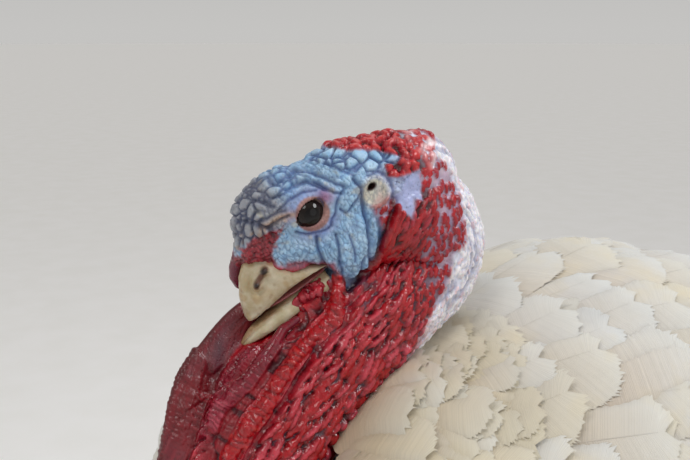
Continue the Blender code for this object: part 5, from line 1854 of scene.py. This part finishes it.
def neck_ruff():
    """Small soft feathers round the foot of the neck, over the edge of the bare skin."""
    rng = np.random.default_rng(11)
    rows = []
    for ring, (out, count) in enumerate(((0, 26), (9, 30), (20, 34), (33, 40))):
        count = int(count * max(QUICK, 0.7))
        for i in range(count):
            turn = (i + 0.5 * (ring % 2) + rng.uniform(-0.3, 0.3)) / count * 2 * math.pi
            rows.append((turn, out + rng.uniform(-3, 3)))
    turn, out = np.array(rows).T
    axis = unit(np.array((0, -0.30, 0.95)))
    across = np.array((1.0, 0, 0))
    ahead = np.cross(axis, across)
    radial = np.cos(turn)[:, None] * across + np.sin(turn)[:, None] * ahead
    centre = np.array((0, -214, 572)) - axis * (out * 0.55)[:, None]
    wide = 41 + out * 0.85
    roots = centre + radial * wide[:, None] * np.array((1, 0.98, 1))
    normal = unit(radial * 0.75 + axis * 0.55)
    flow = unit(radial * 0.7 - axis * 0.85)
    size = 40 + out * 0.5 + rng.normal(0, 4, len(turn))
    sizes = np.stack((size, size * 0.62), -1)
    tone = np.clip(0.55 + 0.3 * rng.standard_normal(len(turn)), 0, 1)
    batches = shared_out(roots, normal, flow, sizes, turn / (2 * math.pi) % 1, 0.12 + out * 0.002, tone,
                         FINE, rng, None, 6.0, ruffle=0.25)
    count = int(180 * max(QUICK, 0.7))
    turn, out = rng.uniform(-0.5, 1.75, count), rng.uniform(34, 92, count)
    x, y = out * np.sin(turn), -196 + out * np.cos(turn)
    top, bottom, wide = [np.interp(y, TRUNK_ROWS[:, 0], TRUNK_ROWS[:, i]) for i in (1, 2, 3)]
    high = (top - bottom) / 2
    z = top - high + high * (1 - (np.abs(x) / wide) ** FULLNESS) ** (1 / FULLNESS)
    roots = np.stack((x, y, z), -1)
    for _ in range(3):
        away, normal = field_step(tuft_field, roots)
        roots = roots - normal * away[:, None]
    flow = np.stack((np.sin(turn), np.cos(turn), for_each(count, -0.25)), -1)
    size = 50 + rng.normal(0, 4, count)
    sizes = np.stack((size, size * 0.80), -1)
    tone = np.clip(0.8 + 0.2 * rng.standard_normal(count), 0, 1)
    batches += shared_out(roots, normal, flow, sizes, turn / (2 * math.pi) % 1, 0.2 + out * 0.001, tone,
                          DOWNY, rng, tuft_field, 7.0, lift=0.9, ruffle=0.16)
    coat_piece("neck_ruff", batches, (), PLUMAGE_LOOK)


WING_ROWS = catmull(WING, 6)


def wing_face(y, z):
    """How far out the wing's outer face is, over the plane of its length and height."""
    x0, z0, thick, high = [np.interp(y, WING_ROWS[:, 1], WING_ROWS[:, i]) for i in (0, 2, 3, 4)]
    across = (z - z0) / high
    dome = np.sqrt(np.clip(1 - across ** 2, 0.0, 1))
    return x0 + thick * dome - 0.10 * high * np.maximum(np.abs(across) - 1, 0)


def shoulder_field(p):
    """Body and folded wings as one smooth form."""
    y = np.clip(p[:, 1], WING_ROWS[0, 1], WING_ROWS[-1, 1])
    x0, z0, thick, high = [np.interp(y, WING_ROWS[:, 1], WING_ROWS[:, i]) for i in (0, 2, 3, 4)]
    wing = (np.hypot((np.abs(p[:, 0]) - x0) / thick, (p[:, 2] - z0) / high) - 1) * thick
    wing = wing + np.abs(p[:, 1] - y)
    return smooth_min(trunk_field(p) * TRUNK_SCALE, wing, 26)


def shoulder_feathers():
    """Feathers that run from the body over the front and the upper edge of each folded wing."""
    rng = np.random.default_rng(61)
    step = 15 / QUICK ** 0.5
    spots = []
    for row, y in enumerate(np.arange(-214, 250, step)):
        first = -70 if y < -178 else 12
        for angle in np.arange(first + 4 * (row % 2), 118, 9 / QUICK ** 0.5):
            spots.append((y + rng.uniform(-3, 3), math.radians(angle + rng.uniform(-2, 2))))
    y, angle = np.array(spots).T
    x0, z0, thick, high = [np.interp(y, WING_ROWS[:, 1], WING_ROWS[:, i]) for i in (0, 2, 3, 4)]
    batches = []
    for side in (1, -1):
        p = np.stack((side * (x0 + (thick + 8) * np.cos(angle)), y, z0 + (high + 8) * np.sin(angle)), -1)
        for _ in range(4):
            out, normal = field_step(shoulder_field, p)
            p = p - normal * np.clip(out, -20, 20)[:, None]
        size = 62 - 22 * smoothstep(-130, -200, y) + rng.normal(0, 4, len(y))
        sizes = np.stack((size, size * 0.62), -1)
        flow = np.tile((0.0, 1.0, -0.30), (len(y), 1))
        tone = np.clip(0.2 + 0.25 * rng.standard_normal(len(y)), 0, 1)
        batches += shared_out(p, normal, flow, sizes, 0.5 + side * (0.06 + 0.02 * angle), (y + 290) / 640,
                              tone, COARSE, rng, shoulder_field, 6.0, lift=1.5)
    coat_piece("shoulder_feathers", batches, ("trunk",), PLUMAGE_LOOK)


def lay_on_face(face, roots, turn, sizes, template, rng, base, lap=2.5, rise=3.0):
    """Feathers laid on a height field. The roots are places in its plane, and turn is their direction."""
    a, c = template["along"], template["across"]
    d = np.stack((np.cos(turn), np.sin(turn)), -1)
    e = np.stack((-d[:, 1], d[:, 0]), -1)
    half = sizes[:, 1] / 2
    bow = rng.normal(0.0, 0.012, len(roots)) * sizes[:, 0]
    s = a[None, :] * sizes[:, 0][:, None]
    w = c[None, :] * half[:, None] + bow[:, None] * a[None, :] ** 2
    flat = roots[:, None, :] + s[..., None] * d[:, None, :] + w[..., None] * e[:, None, :]
    up = base[:, None] + lap * c[None, :] + rise * a[None, :] - 0.10 * half[:, None] * c[None, :] ** 2
    up = up + 0.25 * np.sin(template["barb"] * 1.9)[None, :] * np.abs(c)[None, :] \
        + template["height"][None, :] * half[:, None]
    return flat, face(flat[..., 0], flat[..., 1]) + up


def wing_feathers(label, side):
    """The folded wing: three rows of coverts over the secondaries, and the primaries below them."""
    rng = np.random.default_rng(21)
    groups = []

    def spread(name, y, z, turn, long, wide, base, templates, lap=-2.5, rise=3.0):
        count = len(y)
        sizes = np.stack((long * (1 + rng.normal(0, 0.03, count)), wide * (1 + rng.normal(0, 0.04, count))),
                         -1)
        groups.append((name, np.stack((y, z), -1), turn + rng.normal(0, 0.02, count), sizes,
                       for_each(count, base), templates, lap, rise))

    k = np.linspace(0, 1, 9)
    spread("quills", 150 + 30 * k, 452 - 22 * k, -0.20 - 0.10 * k, 240 - 34 * k, 34,
           -1.0 + 1.6 * k[::-1], LONG)
    k = np.linspace(0, 1, 16)
    spread("quills", -40 + 190 * k, 408 + 96 * k - 30 * k * k, -0.16 - 0.20 * k, 218 + 12 * k, 50,
           2.0 + 3.0 * k, LONG, -3.0)
    rows = ((13, -70, 180, 425, 75, 96, 44, 5.0), (14, -96, 160, 440, 72, 74, 38, 7.0))
    for count, y0, run, z0, climb, long, wide, base in rows:
        k = np.linspace(0, 1, count)
        spread("coverts", y0 + run * k, z0 + climb * k, -0.24 - 0.18 * k, long, wide, base + 2 * k, COARSE)
    step = 15 / QUICK ** 0.5
    spots = []
    for row, y in enumerate(np.arange(-178, 150, step)):
        z0, high = [np.interp(y, WING_ROWS[:, 1], WING_ROWS[:, i]) for i in (2, 4)]
        low = max(z0 - high * 0.92, 438 + 0.42 * (y + 96))
        for z in np.arange(low + (row % 2) * step * 0.55, z0 + high * 0.98, step * 1.15):
            spots.append((y + rng.uniform(-6, 6), z + rng.uniform(-6, 6)))
    y, z = np.array(spots).T
    spread("coverts", y, z, -0.30 + rng.normal(0, 0.08, len(y)), 46 - 14 * smoothstep(-110, -170, y),
           27 - 6 * smoothstep(-110, -170, y), 8.5, SMALL, rng.choice((-1, 1)) * 0.5, 5.0)
    made = {"quills": [], "coverts": []}
    for name, roots, turn, sizes, base, templates, lap, rise in groups:
        for j, template in enumerate(templates):
            mine = np.arange(len(roots))[j::len(templates)]
            if not len(mine):
                continue
            flat, out = lay_on_face(wing_face, roots[mine], turn[mine], sizes[mine], template, rng,
                                    base[mine], lap, rise)
            verts = np.stack((side * out, flat[..., 0], flat[..., 1]), -1)
            tone = np.clip(0.15 + 0.25 * rng.standard_normal(len(mine)), 0, 1)
            made[name].append({"template": template, "verts": verts,
                               "u": 0.5 + side * 0.25 + (roots[mine, 1] - 460) * 0.001,
                               "v": (roots[mine, 0] + 200) / 620, "tone": tone})
    coat_piece(f"wing_quills_{label}", made["quills"], (f"wing_{label}", f"wing_tip_{label}"),
               PLUMAGE_LOOK)
    coat_piece(f"wing_coverts_{label}", made["coverts"], (f"wing_{label}",), PLUMAGE_LOOK)


TAIL_ROWS = catmull(TAIL, 6)


def tail_face(x, y, over=1.0):
    """Height of the tail's upper face, or the lower one, over its plan."""
    mid, wide, thick = [np.interp(y, TAIL_ROWS[:, 1], TAIL_ROWS[:, i]) for i in (2, 3, 4)]
    dome = np.sqrt(np.clip(1 - (x / (wide * 1.04)) ** 2, 0.0, 1))
    return mid + over * thick * 0.8 * dome - 0.10 * np.abs(x)


def tail_feathers():
    """Eighteen broad tail feathers, closed over each other, and the coverts above and below them."""
    rng = np.random.default_rng(31)
    batches = []
    k = np.linspace(-1, 1, 18)
    order = 1 - np.abs(k)
    groups = [(k * 42, 300 + 6 * order, k * 0.165, 318 - 26 * np.abs(k), 46, -4 + 9 * order, LONG, 1.0,
               np.sign(k) * -1.5)]
    for y, count, half, long, wide, base in ((400, 15, 74, 120, 46, 3), (366, 15, 72, 118, 46, 5),
                                             (330, 14, 68, 110, 44, 8), (292, 13, 60, 100, 42, 11)):
        k = np.linspace(-1, 1, count)
        groups.append((k * half, y + rng.uniform(-13, 13, count), k * 0.16 + rng.normal(0, 0.05, count),
                       long + rng.uniform(-12, 12, count), wide, base - 8 * np.abs(k) ** 3, COARSE, 1.0,
                       -np.sign(k)))
    for y, count, half, long, wide in ((440, 13, 84, 120, 46), (400, 13, 78, 130, 48), (350, 12, 72, 130, 48),
                                       (305, 11, 62, 110, 46)):
        k = np.linspace(-1, 1, count)
        groups.append((k * half, y + rng.uniform(-12, 12, count), k * 0.16, long, wide,
                       1 - 6 * np.abs(k) ** 3, COARSE, -1.0, np.sign(k)))
    for x, y, turn, long, wide, base, templates, over, lap in groups:
        for j, template in enumerate(templates):
            mine = np.arange(len(x))[j::len(templates)]
            roots = np.stack((x, y), -1)[mine]
            sizes = np.stack((for_each(len(x), long), for_each(len(x), wide)), -1)[mine]
            flat, up = lay_on_face(lambda a, b, o=over: o * tail_face(a, b, o), roots,
                                   math.pi / 2 - turn[mine], sizes, template, rng, base[mine],
                                   lap[mine][:, None], 3.0)
            verts = np.stack((flat[..., 0], flat[..., 1], over * up), -1)
            batches.append({"template": template, "verts": verts, "u": 0.5 + x[mine] * 0.002,
                            "v": for_each(len(mine), 0.95 + over * 0.02),
                            "tone": np.clip(0.2 + 0.2 * rng.standard_normal(len(mine)), 0, 1)})
    coat_piece("tail_feathers", batches, ("tail",), PLUMAGE_LOOK)


def thigh_feathers():
    """Short feathers that run down both thighs to the hock."""
    rng = np.random.default_rng(41)
    rows = catmull(THIGH, 4)
    spots = []
    step = 12 / QUICK ** 0.5
    for ring, z in enumerate(np.arange(186, 350, step)):
        x0, y0, wide, deep = [np.interp(z, rows[::-1, 2], rows[::-1, i]) for i in (0, 1, 3, 4)]
        count = max(int(math.pi * (wide + deep) / (step * 1.15)), 7)
        for i in range(count):
            turn = (i + 0.5 * (ring % 2) + rng.uniform(-0.2, 0.2)) / count * 2 * math.pi
            spots.append((x0 + wide * math.cos(turn), y0 + deep * math.sin(turn), z, turn))
    spots = np.array(spots)
    for label, side in (("left", 1), ("right", -1)):
        p = spots[:, :3] * np.array((side, 1, 1))
        _, normal = field_step(thigh_field, p)
        small = smoothstep(250, 190, p[:, 2])
        size = 46 - 20 * small + rng.normal(0, 3, len(p))
        sizes = np.stack((size, size * 0.55), -1)
        flow = np.tile((0.0, 0.12, -1.0), (len(p), 1))
        tone = np.clip(0.35 + 0.3 * rng.standard_normal(len(p)), 0, 1)
        u = 0.5 + side * 0.12 + spots[:, 3] / 60
        v = 0.3 + (350 - p[:, 2]) * 0.001
        batches = shared_out(p, normal, flow, sizes, u, v, tone, SMALL, rng, None, 7.0, lift=0.9)
        coat_piece(f"thigh_feathers_{label}", batches, (f"thigh_{label}",), PLUMAGE_LOOK)


# ---------------------------------------------------------------- skin under the feathers, legs, claws

def inner_rings():
    """Closed rings of the skin under the coat: trunk, tail stump, wings and thighs."""
    turns = np.linspace(0, 2 * math.pi, 36, endpoint=False)
    power = 2 / FULLNESS
    cos, sin = np.cos(turns), np.sin(turns)
    squared = np.sign(cos) * np.abs(cos) ** power, np.sign(sin) * np.abs(sin) ** power
    parts = []
    rings = []
    for y, top, bottom, wide in TRUNK[1:-1]:
        wide = max(wide - COAT_DEPTH, 2)
        high = max((top - bottom) / 2 - COAT_DEPTH, 2)
        shrink = np.clip(y, -274 + COAT_DEPTH, 330 - COAT_DEPTH)
        level = (top + bottom) / 2
        rings.append(np.stack((wide * squared[0], np.full(36, shrink), level + high * squared[1]), -1))
    parts.append(rings)
    parts.append([np.stack((max(wide - 34, 3) * cos, np.full(36, y), z + max(thick - 12, 1.5) * sin), -1)
                  for _, y, z, wide, thick in TAIL[:4]])
    for side in (1, -1):
        parts.append([np.stack((side * (x - 8) + max(thick - 16, 1.5) * cos * side, np.full(36, y),
                                z + max(high - 34, 3) * sin), -1)[::side]
                      for x, y, z, thick, high in WING[1:8]])
        parts.append([np.stack((side * x + side * max(wide - 8, 6) * cos, y + max(deep - 8, 6) * sin,
                                np.full(36, z)), -1)[::-side] for x, y, z, wide, deep in THIGH])
    return parts


TOES = ((2, 92, 4.8), (-33, 72, 4.6), (36, 78, 4.6), (172, 36, 8.5))
FOOT_AT = np.array((104.0, 66.0, 24.0))
SHANK = (
    (100, 105, 196, 8.5), (100, 106, 178, 13.0), (101, 102, 160, 11.0), (102, 90, 115, 9.4),
    (103, 78, 68, 9.6), (104, 68, 32, 11.0), (104, 66, 20, 10.8),
)
SPUR = ((98, 96, 96, 4.7), (94, 106, 94, 3.9), (91, 114, 95, 2.3), (90, 120, 98, 0.9))


def toe_place(heading, out, height):
    turn = math.radians(heading)
    return np.array((FOOT_AT[0] + out * math.sin(turn), FOOT_AT[1] - out * math.cos(turn), height))


def toe_rows(heading, long, tip):
    """Stations along a toe, with a pad between its joints."""
    root = 8.8 if heading < 90 else 13.0
    rows = []
    for t in np.linspace(0, 1, 13):
        thick = 9.5 * (1 - 0.36 * t) * (1 + 0.07 * math.cos(t * 6 * math.pi))
        rows.append((*toe_place(heading, 6 + (long - 6) * t, root + (tip - root) * t), thick))
    return rows


def leg_field(p):
    d = capsules(p, SHANK)
    d = smooth_min(d, ellipsoid(p, (104, 66, 13.5), (14.5, 16.5, 15.0)), 3.0)
    for toe in TOES:
        d = smooth_min(d, capsules(p, toe_rows(*toe)), 1.6)
    return d


def leg_detail(p):
    """Broad scutes down the front of the shank and over the toes, small round scales elsewhere."""
    raised = np.zeros(len(p))
    small, edge = cells(p * 0.42, 71)
    raised += 0.35 * smoothstep(0.02, 0.22, edge - small)
    tint = np.tile(linear(206, 176, 162), (len(p), 1))
    tint = paint(tint, linear(150, 112, 104), 0.7 * smoothstep(0.16, 0.02, edge - small))
    middle = np.interp(p[:, 2], (20, 68, 115, 160, 178), (66, 78, 90, 102, 106))
    front = smoothstep(2, 7, middle - p[:, 1])
    front = front * smoothstep(30, 42, p[:, 2])
    row = (p[:, 2] - 0.18 * np.abs(p[:, 0] - 102)) / 7.0
    step = row - np.floor(row)
    scute = smoothstep(0.0, 0.22, step) * (1 - 0.35 * step)
    raised = lerp(raised, 0.9 * scute, front)
    tint = paint(tint, linear(222, 196, 180), front * 0.6)
    tint = paint(tint, linear(132, 96, 86), front * smoothstep(0.14, 0.02, step))
    for heading, long, _ in TOES:
        ahead = toe_place(heading, 1, 0) - toe_place(heading, 0, 0)
        out = (p - toe_place(heading, 0, 0)) @ ahead
        side = np.abs((p - toe_place(heading, 0, 0)) @ np.array((-ahead[1], ahead[0], 0)))
        over = smoothstep(8.5, 6.5, side) * smoothstep(12, 18, out) * smoothstep(long + 6, long, out) \
            * smoothstep(7, 10, p[:, 2] + 0.05 * out)
        row = out / 5.2
        step = row - np.floor(row)
        raised = lerp(raised, 0.7 * smoothstep(0, 0.25, step) * (1 - 0.3 * step), over)
        tint = paint(tint, linear(216, 190, 174), over * 0.6)
        tint = paint(tint, linear(128, 92, 82), over * smoothstep(0.16, 0.02, step))
    # darker and browner towards the floor, over the lowest 16 mm
    toward_floor = smoothstep(16, 2, p[:, 2]) * (0.5 + 0.3 * value_noise(p * 0.12, 5))
    tint = paint(tint, linear(120, 98, 80), np.clip(toward_floor, 0, 1))
    return raised, tint


def leg_mesh():
    step = 2.0
    axes = [np.arange(low, high, step) for low, high in ((48, 168), (-40, 126), (-6, 204))]
    verts, quads = surface_net(near_surface(leg_field, axes, 16), axes)
    verts = settle(leg_field, verts, 2)
    outward = slope(leg_field, verts, 0.6)
    raised, tint = leg_detail(verts)
    verts = verts + outward * (raised - 0.4)[:, None]
    verts[:, 2] = np.maximum(verts[:, 2], 0.0)
    return verts, quads, tint


def make_claw(name, stations, node, look):
    """A horn cone along its stations, rounded over the top and flatter below."""
    rows = catmull(stations, 5)
    turns = np.linspace(0, 2 * math.pi, 20, endpoint=False)
    ahead = unit(np.gradient(rows[:, :3], axis=0))
    side = unit(np.cross(ahead, (0, 0, 1)))
    over = np.cross(side, ahead)
    rings = []
    for at, a, b, r in zip(rows[:, :3], side, over, rows[:, 3]):
        low = np.where(np.sin(turns) < 0, 0.8, 1.0)
        rings.append(at + r * (np.cos(turns)[:, None] * a + (np.sin(turns) * low)[:, None] * b))
    verts, faces = ring_loft(rings)
    verts[:, 2] = np.maximum(verts[:, 2], 0.15)
    claw = new_mesh(name, verts, faces)
    reach = np.clip(length(verts - rows[0, :3]) / length(rows[-1, :3] - rows[0, :3]), 0, 1)
    tint = paint(np.tile(linear(176, 158, 132), (len(verts), 1)), linear(92, 76, 62), reach ** 1.5 * 0.8)
    store(claw, "tint", tint)
    claw.data.materials.append(look)
    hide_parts(node)
    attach(claw, "root")


def make_claws():
    for label, side in (("left", 1), ("right", -1)):
        flip = np.array((side, 1, 1, 1))
        for name, (heading, long, tip) in zip(("middle", "inner", "outer", "back"), TOES):
            rows = [(*toe_place(heading, long + out, tip + up), wide)
                    for out, up, wide in ((-4, 1.2, 3.8), (1, 1.6, 4.2), (7, 1.5, 3.6), (13, 0.7, 2.6),
                                          (18.5, -1.2, 0.9))]
            make_claw(f"claw_horn_{label}_{name}", np.array(rows) * flip, f"claw_{label}_{name}", CLAW_LOOK)
        make_claw(f"spur_horn_{label}", np.array(SPUR) * flip, f"spur_{label}", CLAW_LOOK)


def make_beard():
    """A short tassel of coarse black bristles that hangs from the breast."""
    rng = np.random.default_rng(51)
    rows = catmull(((0, -268, 494), (0, -287, 474), (0, -295, 442), (0, -292, 405), (0, -286, 376)), 5)
    ahead = unit(np.gradient(rows, axis=0))
    spread = np.interp(np.linspace(0, 1, len(rows)), (0, 0.3, 0.8, 1), (3.6, 6.0, 5.4, 4.2))
    verts, faces, start = [], [], 0
    for _ in range(int(150 * QUICK) + 40):
        turn, far, end = rng.uniform(0, 2 * math.pi), math.sqrt(rng.uniform(0, 1)), rng.uniform(0.72, 1.0)
        count = max(int(len(rows) * end), 4)
        wave = rng.normal(0, 0.5, 2)
        side = np.array((1.0, 0, 0))
        rings = []
        for i in range(count):
            t = i / (count - 1)
            over = np.cross(side, ahead[i])
            centre = rows[i] + spread[i] * far * (math.cos(turn) * side + 0.7 * math.sin(turn) * over) \
                + wave[0] * math.sin(t * 5) * side + wave[1] * math.sin(t * 4 + 1) * over
            r = 0.42 * (1 - 0.7 * t)
            rings.append([centre + r * (math.cos(q) * side + math.sin(q) * over) for q in (0.5, 2.6, 4.7)])
        verts.append(np.array(rings).reshape(-1, 3))
        for i in range(count - 1):
            for j in range(3):
                a, b = start + i * 3 + j, start + i * 3 + (j + 1) % 3
                faces.append((a, b, b + 3, a + 3))
        start += count * 3
    beard = new_mesh("beard_bristles", np.concatenate(verts), [np.array(faces)])
    store(beard, "tint", np.tile(linear(34, 28, 26), (start, 1)))
    beard.data.materials.append(CLAW_LOOK)
    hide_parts("beard")
    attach(beard, "root")


# ---------------------------------------------------------------- floor, light and camera

def pale_floor():
    """A wide, round, pale floor."""
    turns = np.linspace(0, 2 * math.pi, 96, endpoint=False)
    rings = [np.stack((radius * np.cos(turns), radius * np.sin(turns), np.zeros(96)), -1)
             for radius in (300, 1500, 5000, 16000, 60000)]
    faces = [tuple(range(96))]
    for ring in range(len(rings) - 1):
        a, b = ring * 96, ring * 96 + 96
        faces += [(a + i, b + i, b + (i + 1) % 96, a + (i + 1) % 96) for i in range(96)]
    under = np.array((0, 0, CAD_BOX[0][2] / MM)) - SHIFT
    floor = new_mesh("floor", np.concatenate(rings) + under, faces)
    made, tree, shader = node_material("floor_paper")
    speck = add(tree, "ShaderNodeTexNoise", Vector=scaled_place(tree, (1, 1, 1)), Scale=9.0, Detail=5.0)
    tree.links.new(mix(tree, "MIX", remap(tree, speck.outputs[0], 0.35, 0.65, 0, 1),
                       linear(249, 248, 246), linear(252, 251, 250)), shader.inputs["Base Color"])
    shader.inputs["Roughness"].default_value = 0.9
    floor.data.materials.append(made)


def area_light(name, at, target, size, power, colour):
    light = bpy.data.lights.new(name, "AREA")
    light.shape = "DISK"
    light.size = size
    light.energy = power
    light.color = colour
    obj = bpy.data.objects.new(name, light)
    bpy.context.scene.collection.objects.link(obj)
    at, target = np.array(at, float), np.array(target, float)
    obj.location = (at + SHIFT) * MM
    back = unit(at - target)
    obj.rotation_euler = look_rotation(back)
    return obj


def look_rotation(back):
    """Rotation of a light or camera whose back points this way, held level."""
    z = Vector(back)
    x = Vector((0, 0, 1)).cross(z).normalized()
    return Matrix((x, z.cross(x), z)).transposed().to_euler()


def lights():
    target = (0, -190, 640)
    key = bpy.data.lights.new("key", "SUN")
    key.angle = math.radians(24)
    key.energy = 0.82
    key.color = (1.0, 0.985, 0.96)
    obj = bpy.data.objects.new("key", key)
    bpy.context.scene.collection.objects.link(obj)
    obj.rotation_euler = look_rotation(unit(np.array((500.0, -1110.0, 1460.0))))
    area_light("fill", (1900, 300, 1200), target, 1.8, 4.1, (0.93, 0.97, 1.0))
    area_light("sky", (-600, 500, 2300), target, 1.6, 6.6, (0.94, 0.97, 1.0))
    area_light("window", (770, 640, 1740), (0, -170, 720), 0.55, 9, (0.97, 0.98, 1.0))
    area_light("low_front", (-700, -1700, 500), target, 1.6, 2.5, (1.0, 0.97, 0.94))
    world = bpy.data.worlds.new("studio")
    world.use_nodes = True
    tree = world.node_tree
    tree.nodes["Background"].inputs[0].default_value = (1.0, 0.988, 0.966, 1)
    direction = add(tree, "ShaderNodeTexCoord").outputs["Generated"]
    height = add(tree, "ShaderNodeSeparateXYZ", Vector=direction).outputs[2]
    tree.links.new(remap(tree, height, 0.0, 0.35, 0.555, 0.39), tree.nodes["Background"].inputs[1])
    bpy.context.scene.world = world


def camera():
    """A 50 mm lens."""
    lens = bpy.data.cameras.new("camera")
    lens.lens = 50
    lens.sensor_width = 36
    lens.clip_start = 0.02
    obj = bpy.data.objects.new("camera", lens)
    bpy.context.scene.collection.objects.link(obj)
    obj.location = (CAMERA_AT + SHIFT) * MM
    obj.rotation_euler = look_rotation(CAMERA_BACK)
    bpy.context.scene.camera = obj
    bpy.context.scene.view_settings.view_transform = "Standard"


# ---------------------------------------------------------------- the whole bird

skin = make_skin()
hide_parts("head", "neck_upper", "neck_middle", "neck_lower", "neck_caruncles", "dewlap", "snood",
            "ear_left", "ear_right", "trunk", "tail", "wing_left", "wing_right", "thigh_left", "thigh_right",
            "shank_left", "shank_right", "foot_left", "foot_right")
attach(skin, "root")
for label, side in (("left", 1), ("right", -1)):
    make_eye(label, side)
make_bill_upper()
make_bill_lower()
body_feathers()
neck_ruff()
for label, side in (("left", 1), ("right", -1)):
    wing_feathers(label, side)
shoulder_feathers()
breast_front()
tail_feathers()
thigh_feathers()
make_claws()
make_beard()
pale_floor()
lights()
camera()
